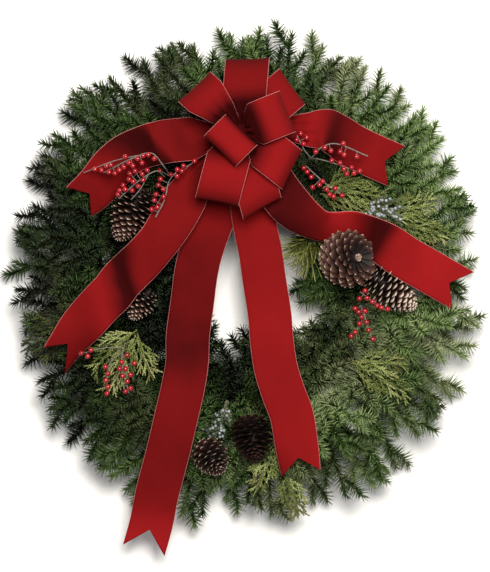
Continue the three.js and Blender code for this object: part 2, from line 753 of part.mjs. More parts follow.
function makeFir() {
  const layout = FIR.map((_, k) => bunchTwigs(k));
  layout.forEach((curves, k) => {
    const name = bunchName(k);
    const twigs = curves.map((curve, j) => drawnOut(name, curve, FIR_LOOK, k + j));
    addNode(name, fuse([boundStems(k), ...twigs]), "fir");
  });
}

// Face sprays of other greenery: [kind, path points from its root outwards, how many side
// twigs, and the direction that its flat fronds face]
const SPRAYS = {
  cedar_left: ["cedar", [[-196, -52, 60], [-262, -78, 56], [-322, -104, 44]], 2, [0.1, 0.1, 1]],
  cedar_lower_left: ["cedar", [[-160, -86, 84], [-176, -124, 90], [-192, -172, 74]], 2, [0, 0, 1]],
  cedar_upper_right: ["cedar", [[116, 126, 86], [156, 124, 100], [200, 116, 98]], 2, [0, 0.2, 1]],
  cedar_right: ["cedar", [[206, 88, 70], [250, 74, 84], [292, 58, 78]], 2, [0, 0, 1]],
  cedar_lower_right: ["cedar", [[160, -128, 66], [196, -148, 84], [240, -176, 90]], 2, [0, 0, 1]],
  cedar_bottom: ["cedar", [[52, -222, 70], [64, -290, 75], [78, -352, 48]], 2, [0, 0, 1]],
  juniper_right: ["juniper", [[176, 100, 80], [204, 102, 96], [232, 88, 98]], 1, null],
  juniper_bottom: ["juniper", [[-22, -184, 78], [-40, -206, 96], [-56, -226, 98]], 1, null],
  pine_right: ["pine", [[108, 60, 60], [96, 44, 74], [76, 24, 78]], 0, null],
};
const JUNIPER_BERRY_R = 3;
const LOOKS = {
  cedar: { radius: 1.3, whorl: 17, needle: 26, lean: 52, each: 2, bare: 4 },
  juniper: { radius: 1.2, whorl: 13, needle: 10, lean: 35, each: 4, bare: 4 },
  pine: { radius: 1.3, whorl: 16, needle: 46, lean: 58, each: 5, bare: 8 },
};

function bead(centre, radius) {
  const ball = radius < BERRY_R ? new THREE.OctahedronGeometry(radius * 1.1, 0)
    : new THREE.IcosahedronGeometry(radius, 0);
  return solid(ball.translate(...centre.toArray()));
}

function makeSpray(name) {
  const [kind, path, sides, plane] = SPRAYS[name];
  const look = { ...LOOKS[kind], flat: plane ? at(plane).normalize() : undefined };
  const points = path.map(at);
  const foot = footBelow(name, points[0]);
  takeAlong(name, foot, PICK_R);
  const main = layTwig(name, points[0], points[1], points[2], look.radius);
  if (!main) {
    throw new Error(`no room for ${name}`);
  }
  const solids = [];
  const curves = [main];
  for (let i = 0; i < sides; i += 1) {
    const u = 0.2 + (0.45 * i) / Math.max(1, sides - 1);
    const turn = THREE.MathUtils.degToRad((i % 2 ? -1 : 1) * 42);
    const from = main.getPointAt(u);
    const heading = main.getTangentAt(u).applyAxisAngle(UP, turn);
    const long = main.getLength() * (0.62 - 0.3 * u);
    const via = from.clone().addScaledVector(heading, long * 0.5);
    const to = from.clone().addScaledVector(heading, long);
    const side = layTwig(name, from, via, to, look.radius);
    if (side) {
      curves.push(side);
    }
  }
  curves.forEach((curve, i) => {
    if (kind === "juniper") {
      for (let j = 0; j < 3; j += 1) {
        const p = curve.getPointAt(0.35 + 0.25 * j);
        p.z += JUNIPER_BERRY_R;
        if (isFree(name, p, p, JUNIPER_BERRY_R)) {
          take(name, p, p, JUNIPER_BERRY_R);
          solids.push(bead(p, JUNIPER_BERRY_R));
        }
      }
    }
    solids.push(drawnOut(name, curve, look, i));
  });
  addNode(name, fuse([...solids, tube(foot, PICK_R, 3, 3)]), kind);
}

// Berry sprigs: the path of each grey stem
const BERRIES_EACH = 5;
const BERRIES = {
  berries_upper_left_a: [[-112, 152, 110], [-115, 153, 140], [-132, 166, 153], [-160, 170, 150],
    [-204, 152, 126]],
  berries_upper_left_b: [[-118, 147, 108], [-130, 154, 138], [-154, 140, 138], [-184, 114, 124]],
  berries_upper_left_c: [[-106, 147, 108], [-112, 134, 134], [-116, 114, 138], [-130, 86, 136]],
  berries_upper_right_a: [[97, 172, 108], [100, 174, 140], [113, 188, 152], [132, 194, 152],
    [182, 176, 134]],
  berries_upper_right_b: [[92, 162, 104], [104, 150, 124], [120, 136, 128], [146, 118, 126]],
  berries_right_a: [[172, -24, 96], [182, -32, 116], [196, -44, 118], [213, -52, 116]],
  berries_right_b: [[172, -44, 94], [177, -56, 114], [182, -74, 116], [189, -95, 110]],
  berries_lower_left: [[-176, -100, 96], [-180, -122, 112], [-180, -146, 112], [-180, -170, 106]],
};

function makeBerries(name) {
  const points = BERRIES[name].map(at);
  const foot = footBelow(name, points[0]);
  const stem = curveThrough(points);
  takeAlong(name, foot, PICK_R);
  takeAlong(name, stem.getSpacedPoints(6), TWIG_ROOM);
  const solids = [tube(foot, PICK_R, 3, 3), tube(points, PICK_R, 3, 4)];
  for (let i = 0; i < BERRIES_EACH; i += 1) {
    const u = 0.12 + (0.86 * i) / (BERRIES_EACH - 1);
    const along = stem.getTangentAt(u);
    const side = new THREE.Vector3().crossVectors(UP, along).normalize();
    const out = side.multiplyScalar(i % 2 ? 1 : -1).addScaledVector(UP, 0.5 + 0.5 * draw(i));
    const centre = stem.getPointAt(u).addScaledVector(out.normalize(), BERRY_R * 0.9);
    if (isFree(name, centre, centre, BERRY_R)) {
      take(name, centre, centre, BERRY_R);
      solids.push(bead(centre, BERRY_R));
    }
  }
  addNode(name, fuse(solids), "berry");
}

makeRing();
takeStems();
makeBow();
Object.keys(TAILS).forEach(makeTail);
makeBowTie();
Object.keys(CONES).forEach(makeCone);
Object.keys(BERRIES).forEach(makeBerries);
Object.keys(SPRAYS).forEach(makeSpray);
makeFir();

// The origin is the middle of the whole wreath's box, on the surface that it lies on.
const bounds = new THREE.Box3().setFromObject(root);
const middle = bounds.getCenter(new THREE.Vector3());
root.position.set(-middle.x, -middle.y, -bounds.min.z);
root.updateMatrixWorld(true);

export default root;
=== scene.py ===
# A fresh evergreen wreath with a red velvet bow, lying on its back. Every piece is made here in
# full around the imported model, in metres. +Z comes out of the wreath's face, +Y is its top.
import math
import random
from functools import partial

import bpy
import numpy as np
from mathutils import Matrix, Vector
from mathutils.bvhtree import BVHTree


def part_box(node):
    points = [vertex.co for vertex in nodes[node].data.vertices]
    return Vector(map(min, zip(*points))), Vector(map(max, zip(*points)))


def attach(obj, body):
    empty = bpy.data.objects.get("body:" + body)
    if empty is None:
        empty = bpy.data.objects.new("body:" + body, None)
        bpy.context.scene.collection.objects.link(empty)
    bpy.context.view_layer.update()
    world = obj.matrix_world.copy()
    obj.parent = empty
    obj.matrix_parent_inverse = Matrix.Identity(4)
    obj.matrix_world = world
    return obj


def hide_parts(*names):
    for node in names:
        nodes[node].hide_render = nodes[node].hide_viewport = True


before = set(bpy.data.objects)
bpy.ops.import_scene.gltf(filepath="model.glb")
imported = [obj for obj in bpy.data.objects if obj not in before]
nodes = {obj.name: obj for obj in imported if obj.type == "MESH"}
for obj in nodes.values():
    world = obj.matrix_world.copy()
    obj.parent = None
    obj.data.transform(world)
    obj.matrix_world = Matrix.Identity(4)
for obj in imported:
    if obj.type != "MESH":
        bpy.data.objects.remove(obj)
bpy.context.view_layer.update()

MM = 0.001
UP = np.array([0.0, 0.0, 1.0])
GOLDEN = math.radians(137.508)  # the turn from one leaf or scale to the next

# The ring, its middle being the wreath's
ring_low, ring_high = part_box("wire_ring")
CENTRE = (ring_low + ring_high) / 2
RAIL_IN = 188
RAIL_OUT = 228
BUNCHES = 16
STEM_Z = 9.06  # height of the bound stems in their clamp

# The ribbon, in millimetres
RIBBON_W = 63.5
RIBBON_T = 0.9
HEM_R = 0.55
KNOT = (-4, 213, 122)  # its middle, from the wreath's
KNOT_R = 11
KNOT_LONG = 50
KNOT_FOLDS = 9
FOLD_MM = 1.2
KNOT_ROWS = 12
KNOT_SIDES = 48
GATHERED = 0.21  # the share of its width that the ribbon keeps at the knot
TAIL_OPENS = 62  # how far from the knot most tails reach their full width

# The photograph's scale: what was read off it stays in its own pixels
PIXEL = 1.48
PHOTO_MIDDLE = (244, 276)


def from_photo(px, py):
    """A point of the photograph, in millimetres from the wreath's middle."""
    return (px - PHOTO_MIDDLE[0]) * PIXEL, (PHOTO_MIDDLE[1] - py) * PIXEL


def in_row_frame(points):
    """Millimetres from the wreath's middle as metres in the row frame."""
    placed = np.array(points, float)[:, :3] * MM
    return placed + np.array([CENTRE.x, CENTRE.y, 0])


def polar(degrees, radius, z):
    """The point at an angle, a distance from the axis and a height."""
    a = math.radians(degrees)
    return np.array([radius * math.cos(a), radius * math.sin(a), z])


def station_angle(k):
    """Where the k-th bunch is clamped to the ring."""
    return 360 / BUNCHES * (k + 0.35)


def unit(v):
    return v / np.maximum(np.linalg.norm(v, axis=-1, keepdims=True), 1e-12)


def smooth_path(points, step):
    """Rows a step apart on a smooth curve through the given rows. Columns past the third follow."""
    given = np.array(points, float)
    padded = np.vstack([2 * given[0] - given[1], given, 2 * given[-1] - given[-2]])
    dense = []
    for i in range(len(given) - 1):
        p = padded[i:i + 4]
        gaps = np.linalg.norm(np.diff(p[:, :3], axis=0), axis=1) ** 0.5
        t = np.concatenate([[0], np.cumsum(np.maximum(gaps, 1e-4))])
        for s in np.linspace(t[1], t[2], 16, endpoint=False):
            a = [((t[j + 1] - s) * p[j] + (s - t[j]) * p[j + 1]) / (t[j + 1] - t[j]) for j in range(3)]
            b = [((t[j + 2] - s) * a[j] + (s - t[j]) * a[j + 1]) / (t[j + 2] - t[j]) for j in range(2)]
            dense.append(((t[2] - s) * b[0] + (s - t[1]) * b[1]) / (t[2] - t[1]))
    dense = np.array(dense + [given[-1]])
    arc = arc_lengths(dense)
    even = np.linspace(0, arc[-1], max(2, round(arc[-1] / step)) + 1)
    return np.stack([np.interp(even, arc, dense[:, c]) for c in range(dense.shape[1])], axis=1)


def arc_lengths(path):
    steps = np.linalg.norm(np.diff(path[:, :3], axis=0), axis=1)
    return np.concatenate([[0], np.cumsum(steps)])


def at_length(rows, arc, at):
    """The first three columns of rows, at a length along their path."""
    return np.array([np.interp(at, arc, rows[:, c]) for c in range(3)])


# Nodes and materials

MATHS = "ShaderNodeMath"
VECTORS = "ShaderNodeVectorMath"
NOISE = "ShaderNodeTexNoise"
RANDOM = "FunctionNodeRandomValue"
CARRIED = "GeometryNodeInputNamedAttribute"


def add(tree, kind, inputs=None, **settings):
    """Adds a node with its settings. An input is a value or what links to it: a node, for its first
    output, one of a node's outputs, or a list of these."""
    made = tree.nodes.new(kind)
    for name, value in settings.items():
        setattr(made, name, value)
    for key, value in (inputs or {}).items():
        for one in value if isinstance(value, list) else [value]:
            if isinstance(one, bpy.types.Node):
                one = one.outputs[0]
            if isinstance(one, bpy.types.NodeSocket):
                tree.links.new(one, made.inputs[key])
            else:
                made.inputs[key].default_value = one
    return made


def linear(hex_colour):
    """An sRGB hex colour as linear RGBA."""
    channels = [int(hex_colour[i:i + 2], 16) / 255 for i in (1, 3, 5)]
    return [c / 12.92 if c < 0.04045 else ((c + 0.055) / 1.055) ** 2.4 for c in channels] + [1]


def finish_named(name, **settings):
    """A new material and its Principled shader, with constant values on the shader's own sockets."""
    made = bpy.data.materials.new(name)
    made.use_nodes = True
    tree = made.node_tree
    shader = tree.nodes["Principled BSDF"]
    for socket, value in settings.items():
        shader.inputs[socket.replace("_", " ")].default_value = value
    return made, tree, shader


def stops(tree, factor, *colours):
    """A ramp of (place, hex colour) stops."""
    ramp = add(tree, "ShaderNodeValToRGB", {"Fac": factor})
    elements = ramp.color_ramp.elements
    while len(elements) < len(colours):
        elements.new(0.5)
    for element, (place, colour) in zip(elements, colours):
        element.position = place
        element.color = linear(colour)
    return ramp.outputs["Color"]


def patterned(name, sizes, **settings):
    """A new material with uneven patterns in the object's own coordinates. A size is the real size
    of a pattern's patches in millimetres, with its detail."""
    made, tree, shader = finish_named(name, **settings)
    place = add(tree, "ShaderNodeTexCoord").outputs["Object"]
    patterns = [add(tree, NOISE, {"Vector": place, "Scale": 1 / (size * MM), "Detail": detail})
                for size, detail in sizes]
    return made, shader, patterns


def coloured(made, shader, factor, colours, bump=None):
    """Colours a shader by a factor, along (place, hex colour) stops. A bump is its height, strength
    and depth in millimetres."""
    tree = made.node_tree
    tree.links.new(stops(tree, factor, *colours), shader.inputs["Base Color"])
    if bump:
        height, strength, depth = bump
        bumps = add(tree, "ShaderNodeBump", {"Height": height, "Strength": strength, "Distance": depth * MM})
        tree.links.new(bumps.outputs["Normal"], shader.inputs["Normal"])
    return made


TIP_PALER = 0.28  # how much paler a leaf gets from its root to its tip, partly painted shade deep in the greenery
MOTTLED = 0.3  # how much the tone of a leaf or scale wanders


def leafy(name, young, old, roughness, mottle_mm):
    """A waxy needle or scale leaf: darker at its root, partly painted shade where the root lies deep in the
    greenery, paler to its tip, each twig its own tone, which for the fir also carries painted light and
    painted shade by where its twig lies, and older, greyer growth in places. young and old are three colours
    each, from dark to light."""
    sizes = [(mottle_mm, 2), (2 * mottle_mm, 2)]
    made, shader, (mottle, patch) = patterned(name, sizes, Roughness=roughness, IOR=1.45,
                                              Specular_IOR_Level=0.35)
    node = partial(add, made.node_tree)
    shade, along = [node("ShaderNodeAttribute", attribute_name=word).outputs["Fac"]
                    for word in ("shade", "along")]
    tone = node(MATHS, {0: along, 1: TIP_PALER, 2: shade}, operation="MULTIPLY_ADD")
    mixed = node(MATHS, {0: mottle, 1: MOTTLED, 2: tone}, operation="MULTIPLY_ADD")
    fresh, aged = [stops(made.node_tree, mixed, *zip((0.15, 0.55, 1), tones)) for tones in (young, old)]
    share = node("ShaderNodeMapRange", {"Value": patch, "From Min": 0.5, "From Max": 0.64, "To Max": 0.6})
    colour = node("ShaderNodeMix", {0: share, 6: fresh, 7: aged}, data_type="RGBA")
    made.node_tree.links.new(colour.outputs[2], shader.inputs["Base Color"])
    return made


def bark(name, dark, light, grain_mm):
    """Thin bark: matt, with a fine broken grain."""
    made, shader, (grain,) = patterned(name, [(grain_mm, 4)], Roughness=0.8, IOR=1.5,
                                       Specular_IOR_Level=0.3)
    return coloured(made, shader, grain, [(0.3, dark), (0.7, light)], (grain, 0.5, 0.2))


def velvet():
    """Velvet ribbon of cut, standing fibres: no gloss, a soft sheen at the turns, and marks where the
    fibres lean. Its colour also carries painted light from the ribbon: painted shade in troughs,
    creases, near the knot and where the cloth is turned on edge, and painted highlight where it should look
    brightest."""
    made, shader, (pile_and_painted_light, lean) = patterned("red velvet, cut pile", [(1.2, 3), (45, 2)], Roughness=0.9,
                                           IOR=1.45, Specular_IOR_Level=0.08, Sheen_Weight=0.14,
                                           Sheen_Roughness=0.4, Sheen_Tint=linear("#e03a34"))
    node = partial(add, made.node_tree)
    nap = node("ShaderNodeAttribute", attribute_name="nap").outputs["Fac"]
    both = node(MATHS, {0: pile_and_painted_light, 1: 0.25, 2: lean}, operation="MULTIPLY_ADD")
    # Painted light and shade from the ribbon's points, over the fibres' own marks
    marked_and_lit = node(MATHS, {0: both, 1: 0.2, 2: nap}, operation="MULTIPLY_ADD")
    marked_and_lit_share = node("ShaderNodeMapRange", {"Value": marked_and_lit, "From Max": 1.6})
    return coloured(made, shader, marked_and_lit_share, [(0.16, "#340304"), (0.6, "#7c1012"), (1, "#a81c20")],
                    (pile_and_painted_light, 0.25, 0.3))


def hem():
    """The wired hem: pale pink overlock thread, wound 0.9 mm apart along the ribbon's edge."""
    made, shader, (thread,) = patterned("pale overlock thread", [(0.9, 2)], Roughness=0.7,
                                        Sheen_Weight=0.3)
    return coloured(made, shader, thread, [(0.35, "#9a3a3a"), (0.65, "#c9716c")])


def cone_scale():
    """A weathered pine cone's scale: dark chestnut inside, a tan woody end with a paler ridge."""
    made, shader, (grain,) = patterned("pine cone scale, dry wood", [(2.5, 5)], Roughness=0.7, IOR=1.5,
                                       Specular_IOR_Level=0.35)
    node = partial(add, made.node_tree)
    along, tone = [node("ShaderNodeAttribute", attribute_name=word).outputs["Fac"]
                   for word in ("along", "tone")]
    lifted = node(MATHS, {0: along, 1: tone}, operation="ADD")
    mixed = node(MATHS, {0: grain, 1: MOTTLED, 2: lifted}, operation="MULTIPLY_ADD")
    worn = node("ShaderNodeMapRange", {"Value": mixed, "From Min": 0.6, "From Max": 1.3})
    colours = [(0.1, "#140705"), (0.5, "#32160e"), (0.66, "#5f4033"), (0.8, "#cabcac")]
    return coloured(made, shader, worn, colours, (grain, 0.4, 0.4))


def berry_skin(name, colour, deep, gloss):
    """A waxed berry: smooth clear skin over a slightly uneven colour."""
    made, shader, (flesh,) = patterned(name, [(6, 2)], Roughness=gloss, IOR=1.5, Coat_Weight=0.5,
                                       Coat_Roughness=0.12)
    return coloured(made, shader, flesh, [(0.3, deep), (0.7, colour)])


def painted_wire():
    """Dark green enamel over drawn steel wire, worn a little where it was handled."""
    made, shader, (wear,) = patterned("green enamelled steel wire", [(14, 4)], Roughness=0.35, IOR=1.5,
                                      Coat_Weight=0.3)
    return coloured(made, shader, wear, [(0.4, "#16301f"), (0.75, "#35503c")])


def paper():
    """The plain white ground."""
    return finish_named("matt white paper", Roughness=0.9, Base_Color=linear("#fdfdfd"))[0]


FIR = leafy("noble fir needle, waxy", ("#081004", "#395321", "#8fa868"), ("#12120a", "#4d5233", "#a3a585"),
            0.42, 55)
CEDAR = leafy("cedar scale leaf", ("#1f260c", "#667335", "#b8c07f"), ("#26240f", "#7b7440", "#c6bd8b"),
              0.55, 30)
JUNIPER = leafy("juniper needle, bloomed", ("#27331f", "#66785a", "#aab695"),
                ("#2b3324", "#747a5c", "#b4b694"), 0.6, 30)
PINE = leafy("white pine needle", ("#222809", "#717a35", "#b4b670"), ("#2a270f", "#7c7639", "#bcb478"),
             0.45, 40)
FIR_BARK = bark("fir twig bark", "#4a3d2a", "#7b6a4a", 3)
GREY_BARK = bark("weathered twig bark", "#4d4a45", "#87817a", 2)
VELVET = velvet()
HEM = hem()
CONE = cone_scale()
RED_BERRY = berry_skin("red winterberry skin, waxed", "#a90f1c", "#7a0812", 0.22)
BLUE_BERRY = berry_skin("juniper berry skin with bloom", "#a9aeb0", "#5c6367", 0.6)
WIRE = painted_wire()


# Meshes


def new_object(name, mesh):
    made = bpy.data.objects.new(name, mesh)
    bpy.context.scene.collection.objects.link(made)
    return made


def new_mesh(name, points, faces, smooth=True):
    mesh = bpy.data.meshes.new(name)
    mesh.from_pydata([tuple(p) for p in points], [], [tuple(f) for f in faces])
    mesh.polygons.foreach_set("use_smooth", [smooth] * len(mesh.polygons))
    mesh.update()
    return mesh


def store(mesh, name, values):
    """A number for each of the mesh's points."""
    made = mesh.attributes.new(name, "FLOAT", "POINT")
    made.data.foreach_set("value", np.asarray(values, np.float32))


def round_rows(rows, sides, start=0):
    """Points round +Z. A row is (height, half width, half depth, how far it is moved to +Y)."""
    turns = [start + 2 * math.pi * i / sides for i in range(sides)]
    return [(wide * math.cos(a), deep * math.sin(a) + lift, z) for z, wide, deep, lift in rows for a in turns]


def tube_faces(rows, sides, base=0, foot=None, tip=None):
    """The faces of a closed tube whose rows of points start at base. An end is flat, or it runs to
    the point whose number is given."""
    last = base + (rows - 1) * sides
    turns = [(i, (i + 1) % sides) for i in range(sides)]
    faces = [(a + i, a + j, a + sides + j, a + sides + i) for a in range(base, last, sides) for i, j in turns]
    if foot is None:
        faces.append(tuple(base + i for i in reversed(range(sides))))
    else:
        faces += [(foot, base + j, base + i) for i, j in turns]
    if tip is None:
        faces.append(tuple(last + i for i in range(sides)))
    else:
        faces += [(last + i, last + j, tip) for i, j in turns]
    return faces


def template(name, points, faces, along, smooth=True):
    """A shape for a tree to repeat, with how far along it each point lies."""
    mesh = new_mesh(name, points, faces, smooth)
    store(mesh, "along", along)
    return new_object(name, mesh)


NEEDLE_SIDES = 3


def spindle(name, rings):
    """A closed needle of length 1 along +Z. A ring is (share of length, half width, depth)."""
    points = round_rows([(*ring, 0) for ring in rings], NEEDLE_SIDES, math.pi / 2) + [(0, 0, 1)]
    faces = tube_faces(len(rings), NEEDLE_SIDES, tip=len(points) - 1)
    return template(name, points, faces, [p[2] for p in points])


# What foliage has to pass under: the finished ribbons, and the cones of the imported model

SPRAY_HALF = 22  # how far from a spray's axis the fir keeps below it
SPRAY_ROOM = 10
DUCK_PROBES = [(0, 0), (9, 0), (-9, 0), (0, 9), (0, -9)]  # round a point, where cover is looked for
DUCK_SLOPE = 0.9  # how steeply a twig may dip and rise again
LOWEST_Z = 4


def solids_of(meshes):
    """The points and faces of meshes together."""
    points = []
    faces = []
    for data in meshes:
        base = len(points)
        points += [v.co.copy() for v in data.vertices]
        faces += [[base + i for i in face.vertices] for face in data.polygons]
    return points, faces


def duck(path, room, sprays=None):
    """Lowers a path, in millimetres, where it would come within a room's height of what covers it,
    or of the sprays laid on it, given as the points of their axes."""
    placed = in_row_frame(path)
    z = path[:, 2].copy()
    for i, p in enumerate(placed):
        for aside, along in DUCK_PROBES:
            spot = Vector((p[0] + aside * MM, p[1] + along * MM, 0))
            hit = cover.ray_cast(spot, Vector((0, 0, 1)))[0]
            if hit is not None:
                z[i] = min(z[i], hit.z / MM - room)
        if sprays is not None:
            away = np.hypot(sprays[:, 0] - path[i, 0], sprays[:, 1] - path[i, 1])
            near = int(np.argmin(away))
            if away[near] < SPRAY_HALF:
                z[i] = min(z[i], sprays[near, 2] - SPRAY_ROOM)
    arc = arc_lengths(path)
    for i in range(1, len(z)):
        z[i] = min(z[i], z[i - 1] + DUCK_SLOPE * (arc[i] - arc[i - 1]))
    for i in range(len(z) - 2, -1, -1):
        z[i] = min(z[i], z[i + 1] + DUCK_SLOPE * (arc[i + 1] - arc[i]))
    lowered = path.copy()
    lowered[:, 2] = np.maximum(z, LOWEST_Z)
    return lowered


# Needled twigs

TIP_LEAN = 44  # by how many degrees more the last needles lean forward

def twig(path, thick, needle, shade, bare=0.0, lean=38):
    """A twig's line with what its points need: needles longest in the middle, the last ones short and
    leaning forward, on wood that tapers. Sizes in millimetres, the lean in degrees."""
    arc = arc_lengths(path)
    u = np.clip((arc - bare) / max(arc[-1] - bare, 1), 0, 1)
    long = needle * (0.8 + 0.2 * np.sin(math.pi * np.minimum(1, u * 1.15))) * (1 - 0.25 * u ** 8)
    long[arc < bare] = 0
    radius = thick / 2 * (1 - 0.55 * arc / arc[-1])
    forward = math.radians(lean) + math.radians(TIP_LEAN) * u ** 8
    return {"path": path, "needle": long, "thick": radius, "lean": forward, "shade": shade}


def line_mesh(name, paths, loose=()):
    """A mesh with a line of edges along each path, in millimetres, after its loose points."""
    edges = []
    base = len(loose)
    for path in paths:
        edges += [(base + i, base + i + 1) for i in range(len(path) - 1)]
        base += len(path)
    mesh = bpy.data.meshes.new(name)
    points = np.vstack([in_row_frame(group) for group in (loose, *paths) if len(group)])
    mesh.from_pydata([tuple(p) for p in points], edges, [])
    return mesh


def twig_lines(name, twigs):
    """One mesh for all the twigs, with their attributes, for the growing tree."""
    mesh = line_mesh(name, [t["path"] for t in twigs])
    for word, scale in (("needle", MM), ("thick", MM), ("lean", 1), ("shade", 1)):
        store(mesh, word, np.concatenate([np.broadcast_to(t[word], len(t["path"])) * scale for t in twigs]))
    return mesh


def new_tree(name, kinds):
    """A geometry tree, what adds a node to it, and what its inputs put out. kinds says what kind of
    socket each input is."""
    tree = bpy.data.node_groups.new(name, "GeometryNodeTree")
    for socket, kind in {"Geometry": "Geometry", **kinds}.items():
        tree.interface.new_socket(socket, in_out="INPUT", socket_type="NodeSocket" + kind)
    tree.interface.new_socket("Geometry", in_out="OUTPUT", socket_type="NodeSocketGeometry")
    return tree, partial(add, tree), tree.nodes.new("NodeGroupInput").outputs


def finish_on_stems(node, grown, skin, lines, sides, wood):
    """Ends a tree: what has grown, made real in its skin, and a closed round stem along each line, as
    thick as its points say."""
    real = node("GeometryNodeRealizeInstances", {"Geometry": grown})
    leaves = node("GeometryNodeSetMaterial", {"Geometry": real, "Material": skin})
    thick = node(CARRIED, {"Name": "thick"})
    section = node("GeometryNodeCurvePrimitiveCircle", {"Resolution": sides, "Radius": 1.0})
    tubes = node("GeometryNodeCurveToMesh",
                 {"Curve": lines, "Profile Curve": section, "Scale": thick, "Fill Caps": True})
    stems = node("GeometryNodeSetMaterial", {"Geometry": tubes, "Material": wood})
    node("NodeGroupOutput", {0: node("GeometryNodeJoinGeometry", {0: [leaves, stems]})})


SHORTEST_MM = 0.8  # a needle shorter than this is left out
CLEAR_MM = 1.2  # how far needles keep above the ground


def needle_tree():
    """Grows needles along lines of edges, and a stem round each line. A needle that would reach
    the ground or run into what has to stay clear is left out."""
    tree, node, put = new_tree("needles along twigs", {
        "Spacing": "Float", "Width": "Float", "Flatness": "Float", "Rise": "Float", "Scatter": "Float",
        "Needle": "Object", "Keep Clear": "Object", "Leaf": "Material", "Bark": "Material", "Sides": "Int",
        "Seed": "Int"})
    lines = node("GeometryNodeMeshToCurve", {"Mesh": put["Geometry"]})
    spots = node("GeometryNodeCurveToPoints", {"Curve": lines, "Length": put["Spacing"]}, mode="LENGTH")
    tangent = spots.outputs["Tangent"]
    lean, needle, shade = [node(CARRIED, {"Name": name}) for name in ("lean", "needle", "shade")]

    # Round its twig, by the golden angle
    across = node(VECTORS, {0: tangent, 1: (0, 0, 1)}, operation="CROSS_PRODUCT")
    side = node(VECTORS, {0: across}, operation="NORMALIZE")
    above = node(VECTORS, {0: side, 1: tangent}, operation="CROSS_PRODUCT")
    jitter = node(RANDOM, {2: -0.5, 3: 0.5, "Seed": put["Seed"]}).outputs[1]
    swing = node(MATHS, {0: jitter, 1: put["Scatter"]}, operation="MULTIPLY")
    index = node("GeometryNodeInputIndex")
    turn = node(MATHS, {0: index, 1: GOLDEN, 2: swing}, operation="MULTIPLY_ADD")
    cosine, sine = [node(MATHS, {0: turn}, operation=word) for word in ("COSINE", "SINE")]
    height = node(MATHS, {0: sine, 1: put["Flatness"], 2: put["Rise"]}, operation="MULTIPLY_ADD")
    sideways = node(VECTORS, {0: side, "Scale": cosine}, operation="SCALE")
    upwards = node(VECTORS, {0: above, "Scale": height}, operation="SCALE")
    spoke = node(VECTORS, {0: sideways, 1: upwards}, operation="ADD")
    radial = node(VECTORS, {0: spoke}, operation="NORMALIZE")

    # And forwards along it
    loose = node(MATHS, {0: jitter, 1: 0.45, 2: lean}, operation="MULTIPLY_ADD")
    out, ahead = [node(MATHS, {0: loose}, operation=word) for word in ("COSINE", "SINE")]
    forward = node(VECTORS, {0: tangent, "Scale": ahead}, operation="SCALE")
    outward = node(VECTORS, {0: radial, "Scale": out}, operation="SCALE")
    heading = node(VECTORS, {0: forward, 1: outward}, operation="ADD")

    # Each needle's own length and tone
    uneven = node(RANDOM, {2: 0.82, 3: 1.08, "Seed": 7}).outputs[1]
    tint = node(RANDOM, {2: -0.14, 3: 0.14, "Seed": 11}).outputs[1]
    long = node(MATHS, {0: needle, 1: uneven}, operation="MULTIPLY")
    own = node(MATHS, {0: shade, 1: tint}, operation="ADD")
    points = spots.outputs["Points"]
    for name, kind, value in (("heading", "FLOAT_VECTOR", heading), ("long", "FLOAT", long),
                              ("shade", "FLOAT", own)):
        points = node("GeometryNodeStoreNamedAttribute", {"Geometry": points, "Name": name, "Value": value},
                      data_type=kind)
    heading = node(CARRIED, {"Name": "heading"}, data_type="FLOAT_VECTOR")
    long = node(CARRIED, {"Name": "long"})

    # Needles that would touch something
    solid = node("GeometryNodeObjectInfo", {"Object": put["Keep Clear"]}).outputs["Geometry"]
    ray = node("GeometryNodeRaycast",
               {"Target Geometry": solid, "Ray Direction": heading, "Ray Length": long})
    reach = node(VECTORS, {0: heading, "Scale": long}, operation="SCALE")
    tip = node(VECTORS, {0: node("GeometryNodeInputPosition"), 1: reach}, operation="ADD")
    tip_z = node("ShaderNodeSeparateXYZ", {0: tip}).outputs["Z"]
    low, none = [node("FunctionNodeCompare", {0: value, 1: limit * MM}, operation="LESS_THAN")
                 for value, limit in ((tip_z, CLEAR_MM), (long, SHORTEST_MM))]
    either = node("FunctionNodeBooleanMath", {0: low, 1: none}, operation="OR")
    gone = node("FunctionNodeBooleanMath", {0: either, 1: ray.outputs["Is Hit"]}, operation="OR")
    kept = node("GeometryNodeDeleteGeometry", {"Geometry": points, "Selection": gone})

    # The others, turned to their heading with their flat side up
    pointed = node("FunctionNodeAlignRotationToVector", {"Vector": heading}, axis="Z")
    level = node("FunctionNodeAlignRotationToVector", {"Rotation": pointed, "Vector": (0, 0, 1)}, axis="Y",
                 pivot_axis="Z")
    size = node("ShaderNodeCombineXYZ", {0: put["Width"], 1: put["Width"], 2: long})
    shape = node("GeometryNodeObjectInfo", {"Object": put["Needle"]}).outputs["Geometry"]
    grown = node("GeometryNodeInstanceOnPoints",
                 {"Points": kept, "Instance": shape, "Rotation": level, "Scale": size})
    finish_on_stems(node, grown, put["Leaf"], lines, put["Sides"], put["Bark"])
    return tree


def grow(name, mesh, tree, values):
    """Runs a tree on a mesh and keeps the result as a plain piece."""
    made = new_object(name, mesh)
    modifier = made.modifiers.new("grow", "NODES")
    modifier.node_group = tree
    for socket in tree.interface.items_tree:
        if socket.in_out == "INPUT" and socket.name in values:
            modifier[socket.identifier] = values[socket.name]
    bpy.context.view_layer.update()
    result = made.evaluated_get(bpy.context.evaluated_depsgraph_get())
    finished = bpy.data.meshes.new_from_object(result)
    made.modifiers.remove(modifier)
    made.data = finished
    for spare in ("needle", "lean", "thick", "heading", "long"):
        if spare in finished.attributes:
            finished.attributes.remove(finished.attributes[spare])
    return made


NEEDLES = needle_tree()
FIR_NEEDLE = spindle("fir_needle", [(0, 1, 0.55)])
SCALE_LEAF = spindle("scale_leaf", [(0, 0.5, 0.4), (0.5, 1, 0.7)])
LONG_NEEDLE = spindle("long_needle", [(0, 1, 0.8), (0.85, 0.8, 0.7)])

